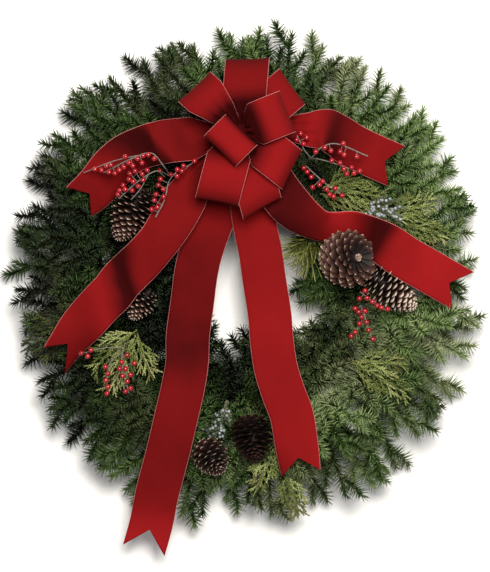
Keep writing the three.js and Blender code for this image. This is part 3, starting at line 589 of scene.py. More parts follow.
# How each kind grows: the spacing and width of its needles in millimetres, how flat round the twig
# they stand, how far they rise and scatter, and the sides of its stems. Wires grow none
GROWTH = {
    "fir": (0.62, 1.3, 0.8, 0.45, 1.4, 3, FIR_NEEDLE, FIR, FIR_BARK),
    "cedar": (1.3, 1.5, 0.7, 0.15, 1.0, 3, SCALE_LEAF, CEDAR, FIR_BARK),
    "juniper": (0.55, 0.6, 0.9, 0.15, 2.0, 4, SCALE_LEAF, JUNIPER, FIR_BARK),
    "pine": (0.7, 0.8, 0.9, 0.25, 2.0, 5, LONG_NEEDLE, PINE, FIR_BARK),
    "wire": (1000, 1, 0.0, 0.0, 0.0, 8, SCALE_LEAF, WIRE, WIRE),
}


def needled(name, kind, twigs, seed):
    """A piece of one kind, grown on its twigs."""
    spacing, width, flatness, rise, scatter, sides, needle, leaf, wood = GROWTH[kind]
    values = {"Spacing": spacing * MM, "Width": width * MM, "Flatness": flatness, "Rise": rise,
              "Scatter": scatter, "Sides": sides, "Needle": needle, "Leaf": leaf, "Bark": wood,
              "Keep Clear": KEEP_CLEAR, "Seed": seed}
    return grow(name, twig_lines(name, twigs), NEEDLES, values)


def side_shoots(main, count, reach, angle, rng, bare, needle, shade, thick, room, sprays=None):
    """Shoots that leave a main path alternately left and right, bend forward and get shorter."""
    arc = arc_lengths(main)
    free = arc[-1] - bare
    made = []
    for i in range(count):
        u = 0.06 + 0.76 * (i + rng.uniform(-0.2, 0.2)) / max(1, count - 1)
        at = bare + free * min(0.86, max(0.03, u))
        start = at_length(main, arc, at)
        j = min(int(np.searchsorted(arc, at)), len(arc) - 1)
        ahead = unit(main[j] - main[max(j - 2, 0)])
        left = unit(np.cross(UP, ahead))
        swing = math.radians(angle + rng.uniform(-7, 7)) * (1 if i % 2 else -1)
        out = ahead * math.cos(swing) + left * math.sin(swing)
        out = unit(out + UP * rng.uniform(-0.12, 0.22))
        long = reach * (1.02 - 0.36 * u) * rng.uniform(0.85, 1.12)
        bend = unit(out * 0.75 + ahead * 0.45)
        knee = start + out * long * 0.5
        path = smooth_path([start, knee, knee + bend * long * 0.5], 5)
        made.append(twig(duck(path, room, sprays), thick, needle, shade + rng.uniform(-0.06, 0.06), bare=2,
                         lean=rng.uniform(14, 30)))
    return made


# The other greenery lies on the fir: axes of each spray as paths, in millimetres, root first

CEDAR_SPRAYS = {
    "cedar_left": [[(-196, -52, 70), (-262, -78, 84), (-324, -108, 62)],
                   [(-200, -54, 70), (-256, -60, 84), (-312, -74, 68)],
                   [(-214, -60, 74), (-262, -94, 80), (-300, -122, 62)]],
    "cedar_lower_left": [[(-160, -86, 84), (-176, -124, 94), (-200, -168, 84)],
                         [(-158, -84, 84), (-150, -116, 94), (-136, -146, 88)],
                         [(-158, -80, 84), (-190, -104, 92), (-222, -140, 82)]],
    "cedar_upper_right": [[(116, 126, 86), (156, 124, 102), (200, 116, 102)],
                          [(112, 122, 84), (148, 110, 98), (178, 92, 96)],
                          [(116, 130, 86), (150, 142, 100), (190, 138, 100)]],
    "cedar_right": [[(206, 88, 74), (250, 74, 92), (294, 60, 86)],
                    [(204, 90, 74), (244, 100, 94), (282, 106, 88)]],
    "cedar_lower_right": [[(160, -128, 76), (196, -148, 94), (240, -176, 92)],
                          [(160, -126, 76), (196, -128, 96), (236, -130, 92)]],
    "cedar_bottom": [[(52, -222, 76), (64, -290, 86), (80, -356, 54)],
                     [(50, -222, 76), (36, -272, 86), (20, -316, 70)]],
}
JUNIPER_SPRAYS = {
    "juniper_right": [[(176, 100, 84), (204, 102, 104), (234, 88, 104)],
                      [(176, 98, 84), (190, 84, 100), (206, 66, 98)]],
    "juniper_bottom": [[(-26, -184, 80), (-46, -204, 100), (-64, -234, 100)],
                       [(-24, -184, 80), (-34, -214, 98), (-44, -246, 96)]],
}
CEDAR_TONES = {"cedar_left": -0.25, "cedar_lower_left": 0.34, "cedar_upper_right": 0.3, "cedar_right": 0.3,
               "cedar_lower_right": 0.32, "cedar_bottom": 0.3}
SPRAY_AXES = np.vstack([smooth_path(axis, 8) for group in (CEDAR_SPRAYS, JUNIPER_SPRAYS)
                        for axes in group.values() for axis in axes])


# Fir: each bunch's twigs come out of its clamp, and fork on their way to the photograph's tips

FIR_TIPS = [
    [(1.5, 343), (15.8, 362), (10.6, 330), (9, 290)],
    [(26.5, 359), (38.5, 361), (34.6, 365), (31, 300)],
    [(46.2, 361), (59.8, 365), (52.7, 361), (54, 285)],
    [(71, 368), (84.6, 364), (78.8, 373), (76, 300)],
    [(93.2, 366), (107.2, 366), (102.5, 356), (100, 305)],
    [(115, 361), (130.8, 376), (124.1, 361), (121, 290)],
    [(135.5, 359), (149.2, 358), (143.2, 358), (141, 280)],
    [(153.5, 344), (167.3, 343), (161.6, 336), (165, 300)],
    [(176.6, 348), (190.7, 336), (183.5, 344), (188, 285)],
    [(199, 340), (214.6, 357), (207.3, 348), (210, 300)],
    [(221, 350), (230.2, 360), (226.4, 348), (233, 290)],
    [(241.2, 372), (255.4, 374), (249, 352), (252, 300)],
    [(265.4, 340), (276.6, 362), (271, 344), (279, 285)],
    [(287, 358), (301.7, 374), (294.9, 366), (297, 300)],
    [(308.4, 372), (323.2, 358), (317.7, 358), (321, 290)],
    [(329.8, 365), (346.8, 351), (340.1, 357), (341, 300)],
]
# Where the innermost twigs end in the hole: angle and reach
HOLE_TIPS = [(4, 92), (34, 94), (49, 118), (73, 124), (96, 126), (119, 122), (141, 110), (164, 98), (186, 90),
             (208, 90), (238, 84), (258, 118), (277, 82), (299, 104), (318, 114), (353, 84)]
# Where the foliage needs one more twig: which bunch, and the tip's angle and reach
FILLS = {2: (65, 334), 3: (91, 350), 10: (235, 326)}
FILL = (5, 0, 0, 32, 40, 4, 54)  # its kind, as below
# A bunch's tips by number: three of the photograph's outline, one of the twigs that rise over the
# ring, one in the hole. The outline's stay where they are and the others vary
RISING = 3
INTO_HOLE = 4
# Kinds of main twig: which tip it takes, by how much its angle and reach differ, the heights of
# its middle and tip, how many side shoots it has and how long they are
MAINS = [(0, 0, -9, 18, 22, 4, 54), (1, 0, -9, 34, 42, 4, 54), (2, 0, -9, 48, 62, 4, 56),
         (0, -4.5, -16, 44, 54, 3, 52), (1, 4.5, -16, 58, 70, 3, 52), (3, 4, 10, 76, 94, 4, 54),
         (3, -8, -12, 84, 100, 4, 52), (3, 11, -14, 88, 104, 4, 48), (4, 0, 0, 26, 38, 4, 40),
         (4, -9, 14, 40, 56, 4, 40), (4, 9, 20, 54, 72, 4, 42), (4, 3, 66, 76, 96, 4, 42)]
# Short twigs that turn sideways over the ring and hide it: by how far they turn, reach and height
COLLARS = [(-11, 206, 34), (11, 222, 44), (-9, 248, 62), (9, 190, 56), (12, 204, 66), (-13, 228, 74),
           (-6, 172, 50), (5, 176, 38)]
# One bunch has one more short twig, which rounds the hole off at its right
INNER_FILLS = {15: (-13, 128, 50)}
FIR_NEEDLE_MM = 24
FIR_ROOM = 15
TWIG_STEP = 6
PAINTED_LIGHT_SIDE = -14  # painted light: the side whose greenery is painted paler, as an angle on the wreath
FIR_TONE = 0.24
PAINTED_LIGHT_TONE = 0.27  # how much paler it is painted there, and darker on the far side
INWARD_PAINTED_SHADE = 0.34  # painted shade: how much darker the twigs are painted that stand in the hole
COLLAR_PAINTED_SHADE = 0.16  # painted shade on the short ones that end nearer to the middle than the next number
COLLAR_INSIDE = 200
COLLAR_LEAN = 38


def bundle_place(i):
    """Where the i-th stem lies in its clamp: across the bundle and up from its middle."""
    if i == 0:
        return 0, 0
    inner = i <= 6
    a = 2 * math.pi * i / (6 if inner else 5)
    radius = 2.6 if inner else 4.4
    return radius * math.cos(a), radius * math.sin(a)


def main_path(k, i, kind, rng):
    """The path of a bunch's i-th main twig, from its clamp to its tip, and how much of it is bare."""
    angle = station_angle(k)
    tip, turn, further, middle_z, tip_z, _, _ = kind
    tip_angle, reach = (FIR_TIPS[k] + [HOLE_TIPS[k], FILLS.get(k)])[tip]
    tip_angle += turn + rng.uniform(-1.5, 1.5) * (tip >= RISING)
    reach += further + rng.uniform(-5, 5) * (tip >= RISING)
    aside, lift = bundle_place(i)
    start, leave = (RAIL_OUT + 9, RAIL_IN - 8) if tip == INTO_HOLE else (RAIL_IN - 9, RAIL_OUT + 8)
    if tip == RISING:
        leave = RAIL_IN + 18
    points = [polar(angle + math.degrees(aside / r), r, STEM_Z + lift) for r in (start, leave)]
    bend = leave + (reach - leave) * 0.42
    points.append(polar(angle + (tip_angle - angle) * 0.66, bend, middle_z))
    points.append(polar(tip_angle, reach, tip_z + rng.uniform(-4, 4)))
    bare = np.linalg.norm(points[1] - points[0]) + 2
    return duck(smooth_path(points, TWIG_STEP), FIR_ROOM, SPRAY_AXES), bare


def collar_path(k, turn, reach, z):
    """The path of a short twig that leaves its clamp outwards, or inwards where it ends there."""
    angle = station_angle(k)
    leave = RAIL_OUT + 7 if reach > 210 else RAIL_IN - 6
    points = [polar(angle, leave, STEM_Z + 2), polar(angle + turn * 0.3, (leave + reach) / 2, z * 0.7),
              polar(angle + turn, reach, z)]
    return duck(smooth_path(points, TWIG_STEP), FIR_ROOM, SPRAY_AXES)


def forked_twig(path, thick, lean, shade, bare, shoots, rng):
    """A fir twig with its side shoots, given as their number, length, angle and thickness."""
    count, long, angle, thin = shoots
    return [twig(path, thick, FIR_NEEDLE_MM, shade, bare, lean),
            *side_shoots(path, count, long, angle, rng, bare, FIR_NEEDLE_MM - 2, shade, thin, FIR_ROOM,
                         SPRAY_AXES)]


def fir_bunch(k):
    """A bound bunch of fir: short twigs over the ring, then the long ones, out and into the hole."""
    rng = random.Random(40 + k)
    twigs = []
    # Painted light and shade: a bunch is toned paler towards one side of the wreath and darker on the other
    tone = FIR_TONE + PAINTED_LIGHT_TONE * math.cos(math.radians(station_angle(k) - PAINTED_LIGHT_SIDE))
    for place in COLLARS:
        # Painted shade on the short twigs that end near the hole
        shade = tone - COLLAR_PAINTED_SHADE * (place[1] < COLLAR_INSIDE)
        twigs += forked_twig(collar_path(k, *place), 2, COLLAR_LEAN, shade, 2, (2, 36, 46, 1.6), rng)
    for i, kind in enumerate(MAINS + [FILL] * (k in FILLS)):
        path, bare = main_path(k, i, kind, rng)
        # Painted shade on the twigs that stand in the hole, on top of each twig's own random tone
        shade = tone + rng.uniform(-0.2, 0.2) - INWARD_PAINTED_SHADE * (kind[0] == INTO_HOLE)
        shoots = *kind[-2:], 42, 1.7
        twigs += forked_twig(path, 2.6, rng.uniform(14, 28), shade, bare, shoots, rng)
    if k in INNER_FILLS:
        path = collar_path(k, *INNER_FILLS[k])
        # Painted shade, as on the twigs in the hole
        twigs += forked_twig(path, 2, COLLAR_LEAN, tone - INWARD_PAINTED_SHADE, 2, (4, 34, 46, 1.6), rng)
    piece = needled(f"fir_spray_{k + 1:02d}", "fir", twigs, k)
    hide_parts(f"fir_bunch_{k + 1:02d}")
    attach(piece, "root")


# Other greenery

PICK_FOOT_Z = 4.5
PICK_MM = 2.2
KNEE_Z = 34


def pick_path(start):
    """The wire or bare stem from a decoration's root down to the nearer rail."""
    radius = math.hypot(start[0], start[1])
    angle = math.degrees(math.atan2(start[1], start[0]))
    rail = RAIL_IN if abs(radius - RAIL_IN) < abs(radius - RAIL_OUT) else RAIL_OUT
    return smooth_path([polar(angle, rail, PICK_FOOT_Z), polar(angle, rail, KNEE_Z), start], 4)


def pick(root):
    """A decoration's own wire or bare stem, as a twig without needles."""
    path = pick_path(root)
    made = twig(path, PICK_MM, 0, 0.3, bare=arc_lengths(path)[-1] + 1)
    made["thick"] = np.full(len(path), PICK_MM / 2)
    return made


CEDAR_GAP = 7  # between the branches of a frond, and between their tips
CEDAR_LEAF = 4.2
CEDAR_TIP_LEAF = 3.9
CEDAR_LEAN = 62


def cedar_spray(name, axes):
    """Flat fronds of cedar: each a stem with branches to both sides, on one pick."""
    rng = random.Random(name)
    twigs = [pick(axes[0][0])]
    for axis in axes:
        path = duck(smooth_path(axis, 3), 15)
        arc = arc_lengths(path)
        tone = CEDAR_TONES[name] + rng.uniform(-0.08, 0.08)
        twigs.append(twig(path, 1.8, CEDAR_LEAF, tone, lean=CEDAR_LEAN))
        count = int(arc[-1] / CEDAR_GAP)
        for i in range(count):
            at = arc[-1] * (0.08 + 0.9 * i / count)
            long = min(40, 14 + 0.45 * (arc[-1] - at)) * rng.uniform(0.75, 1.1)
            start = at_length(path, arc, at)
            j = min(int(np.searchsorted(arc, at)) + 1, len(arc) - 1)
            ahead = unit(path[j] - path[j - 1])
            left = unit(np.cross(UP, ahead)) * (1 if i % 2 else -1)
            out = unit(ahead * 0.85 + left * 0.52 + UP * rng.uniform(-0.45, 0.4))
            knee = start + out * long * 0.55
            branch = duck(smooth_path([start, knee, knee + unit(out + ahead * 0.5) * long * 0.45], 5), 7)
            shade = tone + rng.uniform(-0.22, 0.2)
            twigs.append(twig(branch, 1.4, CEDAR_LEAF, shade, lean=CEDAR_LEAN))
            twigs += frond_tips(branch, left, rng, shade)
    piece = needled(name + "_spray", "cedar", twigs, 3)
    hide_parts(name)
    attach(piece, "root")


def frond_tips(branch, left, rng, shade):
    """The last, finest cords of a cedar frond, flat to both sides of a branch."""
    arc = arc_lengths(branch)
    count = int(arc[-1] / CEDAR_GAP)
    made = []
    for i in range(count):
        at = arc[-1] * (0.1 + 0.85 * i / count)
        start = at_length(branch, arc, at)
        ahead = unit(branch[-1] - branch[0])
        out = unit(ahead * 0.9 + left * 0.38 * (1 if i % 2 else -1) + UP * rng.uniform(-0.4, 0.4))
        long = rng.uniform(11, 20) * (1 - 0.4 * at / arc[-1])
        path = duck(smooth_path([start, start + out * long], 6), 5)
        made.append(twig(path, 1.1, CEDAR_TIP_LEAF, shade + 0.08, lean=CEDAR_LEAN + 2))
    return made


JUNIPER_NEEDLE_MM = 6.5
JUNIPER_ROOM = 10
JUNIPER_BERRY_R = 2.5


def juniper_spray(name, axes):
    """Juniper twigs with their berries, on one pick."""
    rng = random.Random(name)
    twigs = [pick(axes[0][0])]
    berries = []
    for axis in axes:
        path = duck(smooth_path(axis, 3), JUNIPER_ROOM)
        tone = rng.uniform(0.25, 0.4)
        main = twig(path, 1.8, JUNIPER_NEEDLE_MM, tone, lean=40)
        shoots = side_shoots(path, 9, 28, 42, rng, 0, JUNIPER_NEEDLE_MM - 0.5, tone, 1.2, JUNIPER_ROOM)
        twigs += [main, *shoots]
        for shoot in shoots + [main]:
            for share in (0.3, 0.5, 0.72):
                spot = shoot["path"][int(share * (len(shoot["path"]) - 1))]
                berries.append(spot + np.array([rng.uniform(-4, 4), rng.uniform(-4, 4), rng.uniform(3, 7)]))
    piece = needled(name + "_spray", "juniper", twigs, 5)
    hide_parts(name)
    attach(piece, "root")
    fruit = grow(name + "_berries", berry_spots(name, berries, JUNIPER_BERRY_R), BERRIES,
                 {"Ball": BALL, "Skin": BLUE_BERRY, "Bark": FIR_BARK})
    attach(fruit, "root")


PINE_NEEDLE_MM = 50


def pine_spray():
    """Two tufts of long needles on one pick."""
    rng = random.Random(5)
    root = (108, 64, 60)
    twigs = [pick(root)]
    for rest in ([(94, 54, 74), (74, 40, 80)], [(106, 42, 76), (94, 20, 82)]):
        path = smooth_path([root, *rest], 3)
        twigs.append(twig(path, 2, PINE_NEEDLE_MM, 0.3 + rng.uniform(0, 0.1), bare=14, lean=48))
    piece = needled("pine_right_spray", "pine", twigs, 9)
    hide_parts("pine_right")
    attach(piece, "root")


# Berries: points where a berry sits, each with a line of edges for its stalk and stem

BALL_RINGS = 8
BALL_SIDES = 12
STEM_SIDES = 7


def ball_template():
    """A berry of radius 1 with the shallow dimple of its flower end at +Z."""
    slices = [math.pi * r / BALL_RINGS for r in range(1, BALL_RINGS)]
    rows = [(-math.cos(a), math.sin(a), math.sin(a), 0) for a in slices]
    points = [(0, 0, -1), *round_rows(rows, BALL_SIDES), (0, 0, 0.9)]
    faces = tube_faces(len(rows), BALL_SIDES, 1, foot=0, tip=len(points) - 1)
    return new_object("ball", new_mesh("ball", points, faces))


def berry_tree():
    """Puts a berry on every point that has a size, and a round stem on every edge."""
    tree, node, put = new_tree("berries on stems",
                               {"Ball": "Object", "Skin": "Material", "Bark": "Material"})
    size = node(CARRIED, {"Name": "berry"})
    some = node("FunctionNodeCompare", {0: size, 1: 0.1 * MM}, operation="GREATER_THAN")
    turn = node(RANDOM, {0: (0, 0, 0), 1: (1.2, 1.2, 6.28), "Seed": 2}, data_type="FLOAT_VECTOR")
    shape = node("GeometryNodeObjectInfo", {"Object": put["Ball"]}).outputs["Geometry"]
    berries = node("GeometryNodeInstanceOnPoints", {"Points": put["Geometry"], "Selection": some,
                                                    "Instance": shape, "Rotation": turn, "Scale": size})
    lines = node("GeometryNodeMeshToCurve", {"Mesh": put["Geometry"]})
    finish_on_stems(node, berries, put["Skin"], lines, STEM_SIDES, put["Bark"])
    return tree


def berry_spots(name, centres, radius, lines=()):
    """A mesh with a point for each berry, and the lines of stems and stalks as (path, thickness)."""
    mesh = line_mesh(name, [path for path, wide in lines], centres)
    thick = np.concatenate([np.zeros(len(centres)), *[np.full(len(path), wide) for path, wide in lines]])
    store(mesh, "berry", np.where(np.arange(len(thick)) < len(centres), radius * MM, 0))
    store(mesh, "thick", thick / 2 * MM)
    return mesh


BERRIES = berry_tree()
BALL = ball_template()
BERRY_R = 4.1

# Berry sprigs: the stem's path and its forks, in millimetres, and the berries in the photograph's
# own pixels
SPRIGS = {
    "berries_upper_left_a": (
        [[(-112, 152, 110), (-117, 160, 142), (-136, 180, 158), (-162, 173, 155), (-206, 152, 130)],
         [(-138, 180, 157), (-190, 169, 146), (-236, 152, 120)]],
        [(126.5, 158), (130, 164), (134, 167), (138.6, 160), (143, 164), (144, 157), (149.4, 156),
         (120.5, 171), (116, 174), (112, 166), (107.6, 167), (102.4, 171), (110, 173), (125, 168),
         (155, 160), (96, 170)]),
    "berries_upper_left_b": (
        [[(-118, 147, 108), (-130, 154, 138), (-154, 140, 138), (-184, 114, 124)],
         [(-140, 150, 138), (-152, 128, 140), (-166, 112, 132)]],
        [(124, 186), (120.5, 191), (118.8, 195), (130, 180), (134, 182.5), (136, 172), (142.9, 175),
         (143.7, 181), (139, 187), (130.8, 174.5), (148, 171), (126, 190), (133, 191)]),
    "berries_upper_left_c": (
        [[(-106, 147, 108), (-112, 134, 134), (-116, 114, 140), (-130, 86, 138)],
         [(-110, 140, 128), (-100, 152, 140), (-78, 164, 142)]],
        [(160, 171), (161, 180), (159, 186), (164, 190), (156.6, 195), (164.4, 197.5), (155, 201),
         (152.3, 210), (158, 208), (195, 162), (184, 167), (182.4, 172), (178, 170.5), (177.5, 177),
         (171, 175)]),
    "berries_upper_right_a": (
        [[(97, 172, 108), (100, 174, 140), (113, 188, 154), (132, 194, 154), (182, 176, 138)],
         [(98, 173, 122), (108, 172, 138), (127, 167, 142), (170, 152, 134)],
         [(98, 174, 132), (88, 186, 142), (78, 206, 146)]],
        [(300, 135), (306, 139), (296, 141), (303, 145), (315, 153), (324, 149), (330, 152), (342, 145),
         (339, 153), (343, 156), (355.5, 158), (331, 161.5), (339, 164), (343, 170), (346, 175),
         (350.5, 168.5), (353, 174), (358.5, 172)]),
    "berries_upper_right_b": (
        [[(92, 162, 104), (104, 150, 124), (120, 136, 128), (146, 118, 126)]],
        [(303.5, 168.5), (307, 172.5), (311, 177.5), (319, 185.5), (312, 188), (326, 190), (329, 195),
         (334.5, 189), (341.5, 196), (333, 197), (322, 182)]),
    "berries_right_a": (
        [[(172, -24, 96), (182, -32, 116), (196, -44, 120), (213, -52, 118)]],
        [(364.6, 290.7), (359, 298.7), (366.4, 298), (371.8, 301.8), (376.3, 305.5), (380.7, 307.5),
         (387, 309)]),
    "berries_right_b": (
        [[(172, -44, 94), (177, -56, 116), (182, -74, 118), (189, -95, 112)],
         [(176, -54, 112), (172, -70, 116), (160, -88, 112)]],
        [(354.8, 308.6), (358.4, 312), (364.6, 311), (361, 317), (359, 323.5), (366, 322), (368, 330),
         (354.8, 331.8), (350.7, 336), (372.3, 339)]),
    "berries_lower_left": (
        [[(-176, -100, 96), (-180, -122, 114), (-176, -146, 116), (-170, -172, 110)],
         [(-178, -112, 106), (-196, -126, 114), (-202, -150, 114), (-201, -176, 108)],
         [(-178, -106, 102), (-205, -106, 114), (-238, -114, 112)]],
        [(82, 353), (88.5, 356), (91.5, 350), (106, 366.5), (108.6, 373), (106.5, 380), (108.6, 386.5),
         (107.5, 393), (127.5, 355), (122, 362), (126, 368.5), (135, 363), (131, 374.5), (123, 375.6),
         (128, 381), (131, 388), (126, 391), (120, 368.5)]),
}


def berry_sprig(name):
    """A berry at each place seen in the photograph, a little above the nearest stem, on its stalk."""
    paths, seen = SPRIGS[name]
    rng = random.Random(name)
    stems = [smooth_path(points, 3) for points in paths]
    lines = [(pick_path(stems[0][0]), PICK_MM), (stems[0], 1.9)] + [(fork, 1.5) for fork in stems[1:]]
    stem = np.vstack(stems)
    centres = []
    for px, py in seen:
        x, y = from_photo(px, py)
        near = stem[np.argmin(np.hypot(stem[:, 0] - x, stem[:, 1] - y))]
        centres.append(np.array([x, y, near[2] + rng.uniform(0.5, 4)]))
    for centre in centres:
        near = stem[np.argmin(np.linalg.norm(stem - centre, axis=1))]
        middle = (near + centre) / 2 + np.array([0, 0, 1.0])
        lines.append((smooth_path([near, middle, centre], 2), 0.9))
    piece = grow(name + "_sprig", berry_spots(name, centres, BERRY_R, lines), BERRIES,
                 {"Ball": BALL, "Skin": RED_BERRY, "Bark": GREY_BARK})
    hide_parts(name)
    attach(piece, "root")


# Pine cones: woody scales on a spiral round a core

# Middle, direction of the tip, length, width, number of scales, how far they open, tone. The lower cone's low
# tone is painted shade, deep in the greenery
CONES = {
    "cone_left": [(-166, 95, 98), (-39, -79, -12), 92, 56, 170, 0.6, -0.05],
    "cone_left_small": [(-152, -40, 88), (-25, -40, -10), 54, 38, 110, 0.5, -0.02],
    "cone_right_round": [(152, 26, 96), (-54, -4, -84), 74, 78, 190, 0.65, -0.1],
    "cone_right": [(216, -19, 90), (68, -52, -8), 92, 56, 170, 0.55, 0.05],
    "cone_lower": [(13, -238, 74), (10, -50, 24), 70, 58, 130, 0.6, -0.2],
    "cone_lower_small": [(-49, -267, 80), (30, -42, 30), 56, 49, 110, 0.6, -0.04],
}
SCARRED = "cone_right_round"  # the one cone whose pale stem scar faces the viewer
SCALE_SIDES = 6
# The core: heights as shares of the cone's length, and half widths as shares of its width
CORE_ROWS = [(-0.42, 0.075), (-0.4, 0.1), (-0.1, 0.13), (0.25, 0.08), (0.36, 0.01)]
CORE_SIDES = 10
SCAR_TONE = 1.03  # how pale the scar is


def scale_template():
    """A cone scale of length 1 along +Z: a thin root that widens to a broad blade with a pale rim."""
    rows = [(0, 0.06, 0.025, 0), (0.5, 0.15, 0.025, 0.02), (0.84, 0.25, 0.03, 0), (0.96, 0.15, 0.03, 0.02)]
    points = [*round_rows(rows, SCALE_SIDES), (0, 0, 0), (0, 0.03, 1.06)]
    faces = tube_faces(len(rows), SCALE_SIDES, foot=len(points) - 2, tip=len(points) - 1)
    return template("scale", points, faces, [p[2] for p in points[:-1]] + [1.08], smooth=False)


def cone_tree():
    """Scales on a spiral round a cone's axis, +Z to its tip, opened most at its stem end."""
    tree, node, put = new_tree("cone scales on a spiral", {
        "Count": "Int", "Length": "Float", "Width": "Float", "Open": "Float", "Scale": "Object",
        "Wood": "Material", "Seed": "Int", "Tone": "Float"})

    # Where a scale sits on the core
    index = node("GeometryNodeInputIndex")
    share = node(MATHS, {0: index, 1: put["Count"]}, operation="DIVIDE")
    turn = node(MATHS, {0: index, 1: GOLDEN}, operation="MULTIPLY")
    centred = node(MATHS, {0: share, 1: 0.45}, operation="SUBTRACT")
    z = node(MATHS, {0: centred, 1: put["Length"]}, operation="MULTIPLY")
    z_slim = node(MATHS, {0: z, 1: 0.8}, operation="MULTIPLY")
    core = node("ShaderNodeMapRange", {"Value": share, "To Min": 0.1, "To Max": 0.03})
    radius = node(MATHS, {0: core, 1: put["Width"]}, operation="MULTIPLY")
    x, y = [node(MATHS, {0: turn}, operation=word) for word in ("COSINE", "SINE")]
    around = node("ShaderNodeCombineXYZ", {0: x, 1: y})
    out = node(VECTORS, {0: around, "Scale": radius}, operation="SCALE")
    along = node("ShaderNodeCombineXYZ", {2: z_slim})
    place = node(VECTORS, {0: out, 1: along}, operation="ADD")
    spots = node("GeometryNodePoints", {"Count": put["Count"], "Position": place})

    # How far it leans out
    jitter = node(RANDOM, {2: -0.09, 3: 0.09, "Seed": put["Seed"]}).outputs[1]
    upright = node("ShaderNodeMapRange", {"Value": share, "To Min": 2.0, "To Max": 0.35})
    opened = node(MATHS, {0: put["Open"], 1: 0.5}, operation="SUBTRACT")
    lean = node(MATHS, {0: upright, 1: opened}, operation="ADD")
    tilt = node(MATHS, {0: lean, 1: jitter}, operation="ADD")
    quarter = node(MATHS, {0: turn, 1: math.pi / 2}, operation="ADD")
    euler = node("ShaderNodeCombineXYZ", {0: tilt, 2: quarter})

    # How large it is
    swell = node("ShaderNodeFloatCurve", {"Value": share})
    curve = swell.mapping.curves[0]
    for spot, value in ((0.05, 0.56), (0.14, 0.8), (0.35, 1.0), (0.7, 0.78)):
        curve.points.new(spot, value)
    curve.points[0].location = (0, 0.4)
    curve.points[-1].location = (1, 0.3)
    half = node(MATHS, {0: put["Width"], 1: 0.47}, operation="MULTIPLY")
    size = node(MATHS, {0: swell, 1: half}, operation="MULTIPLY")

    shape = node("GeometryNodeObjectInfo", {"Object": put["Scale"]}).outputs["Geometry"]
    scales = node("GeometryNodeInstanceOnPoints",
                  {"Points": spots, "Instance": shape, "Rotation": euler, "Scale": size})
    everything = node("GeometryNodeJoinGeometry", {0: [scales, put["Geometry"]]})
    real = node("GeometryNodeRealizeInstances", {"Geometry": everything})
    toned = node("GeometryNodeStoreNamedAttribute", {"Geometry": real, "Name": "tone", "Value": put["Tone"]})
    wood = node("GeometryNodeSetMaterial", {"Geometry": toned, "Material": put["Wood"]})
    node("NodeGroupOutput", {0: wood})
    return tree


CONE_TREE = cone_tree()
CONE_SCALE = scale_template()


def core_mesh(length, width, scarred):
    """The cone's own woody axis, closed at both ends, in metres."""
    rows = [(t * length, wide * width, wide * width, 0) for t, wide in CORE_ROWS]
    points = round_rows(rows, CORE_SIDES)
    mesh = new_mesh("core", points, tube_faces(len(rows), CORE_SIDES))
    store(mesh, "along", [SCAR_TONE * scarred * (i < CORE_SIDES) for i in range(len(points))])
    return mesh


def pine_cone(name, seed):
    """A cone, turned to its direction, and the wire that holds it."""
    middle, tip, length, width, count, opened, tone = CONES[name]
    values = {"Count": count, "Length": length * MM, "Width": width * MM, "Open": opened, "Scale": CONE_SCALE,
              "Wood": CONE, "Seed": seed, "Tone": tone}
    piece = grow(name + "_cone", core_mesh(length * MM, width * MM, name == SCARRED), CONE_TREE, values)
    turn = Vector((0, 0, 1)).rotation_difference(Vector(tip).normalized()).to_matrix().to_4x4()
    place = Matrix.Translation(Vector(in_row_frame([middle])[0]))
    piece.data.transform(place @ turn)
    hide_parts(name)
    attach(piece, "root")
    axis = np.array(tip, float) / np.linalg.norm(tip)
    root = np.array(middle, float) - axis * 0.3 * length - np.array([0, 0, width * 0.2])
    wire = needled(name + "_pick", "wire", [pick(root)], 1)
    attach(wire, "root")


# Ribbon: a closed strip of even width with a wired hem on both long edges

COLUMNS = 14
EDGE_ON_PAINTED_SHADE = 0.6  # painted shade: how much darker the velvet is painted where it is turned on edge, away from the lamp above
HEM_SIDES = 5
NOTCH_ROWS = 8  # rows of points in a dovetail
PLEAT_MM = 6  # the depth of the folds where the ribbon is gathered
ROUNDED_MM = 1.2  # how far its edges lie below its middle


def open_share(distance, opens):
    """How much of its width the ribbon shows at a distance from the knot."""
    return np.minimum(1, GATHERED + (1 - GATHERED) * distance / opens)


def ribbon(name, path, across, gathered, notch, nap, slant=0, skew=0):
    """path in millimetres, across a unit vector and gathered the share of the width at each row. With
    a slant, in millimetres, folds run at an angle: one edge rises and falls before the other. With a
    skew the dovetail is cut askew, by so much less on one edge and more on the other. The list after
    the dovetail's depth gives each row's painted light: low is painted shade, high painted highlight."""
    arc = arc_lengths(path)
    ahead = unit(np.gradient(path[:, :3], axis=0))
    face = unit(np.cross(ahead, across))
    columns = np.linspace(-1, 1, COLUMNS + 1)
    ends = [arc[-1] - notch * (1 - abs(s)) - abs(skew) + skew * s for s in columns]
    straight = arc[-1] - (notch + abs(skew) + 6 if notch else 0)
    rows = list(arc[arc < straight]) + [straight]
    steps = NOTCH_ROWS if notch else 0
    points = []
    uv = []
    pile_and_painted_light = []
    for r in range(len(rows) + steps):
        for c, s in enumerate(columns):
            at = rows[r] if r < len(rows) else straight + (ends[c] - straight) * (r - len(rows) + 1) / steps
            centre, over, normal = [at_length(values, arc, at) for values in (path, across, face)]
            wide = np.interp(at, arc, gathered)
            pleat = (1 - wide) * PLEAT_MM * math.cos(3.5 * math.pi * s)
            shifted = at + slant * s * wide
            centre[2] = np.interp(shifted, arc, path[:, 2])
            lift = unit(normal) * (pleat - ROUNDED_MM * s * s)
            points.append(centre + over * s * wide * RIBBON_W / 2 + lift)
            uv.append((at / RIBBON_W, (s + 1) / 2))
            # Painted light and shade of each point, moved along with the folds
            pile_and_painted_light.append(np.interp(shifted, arc, nap))
    return strip_piece(name, np.array(points), len(rows) + steps, uv, np.array(pile_and_painted_light))


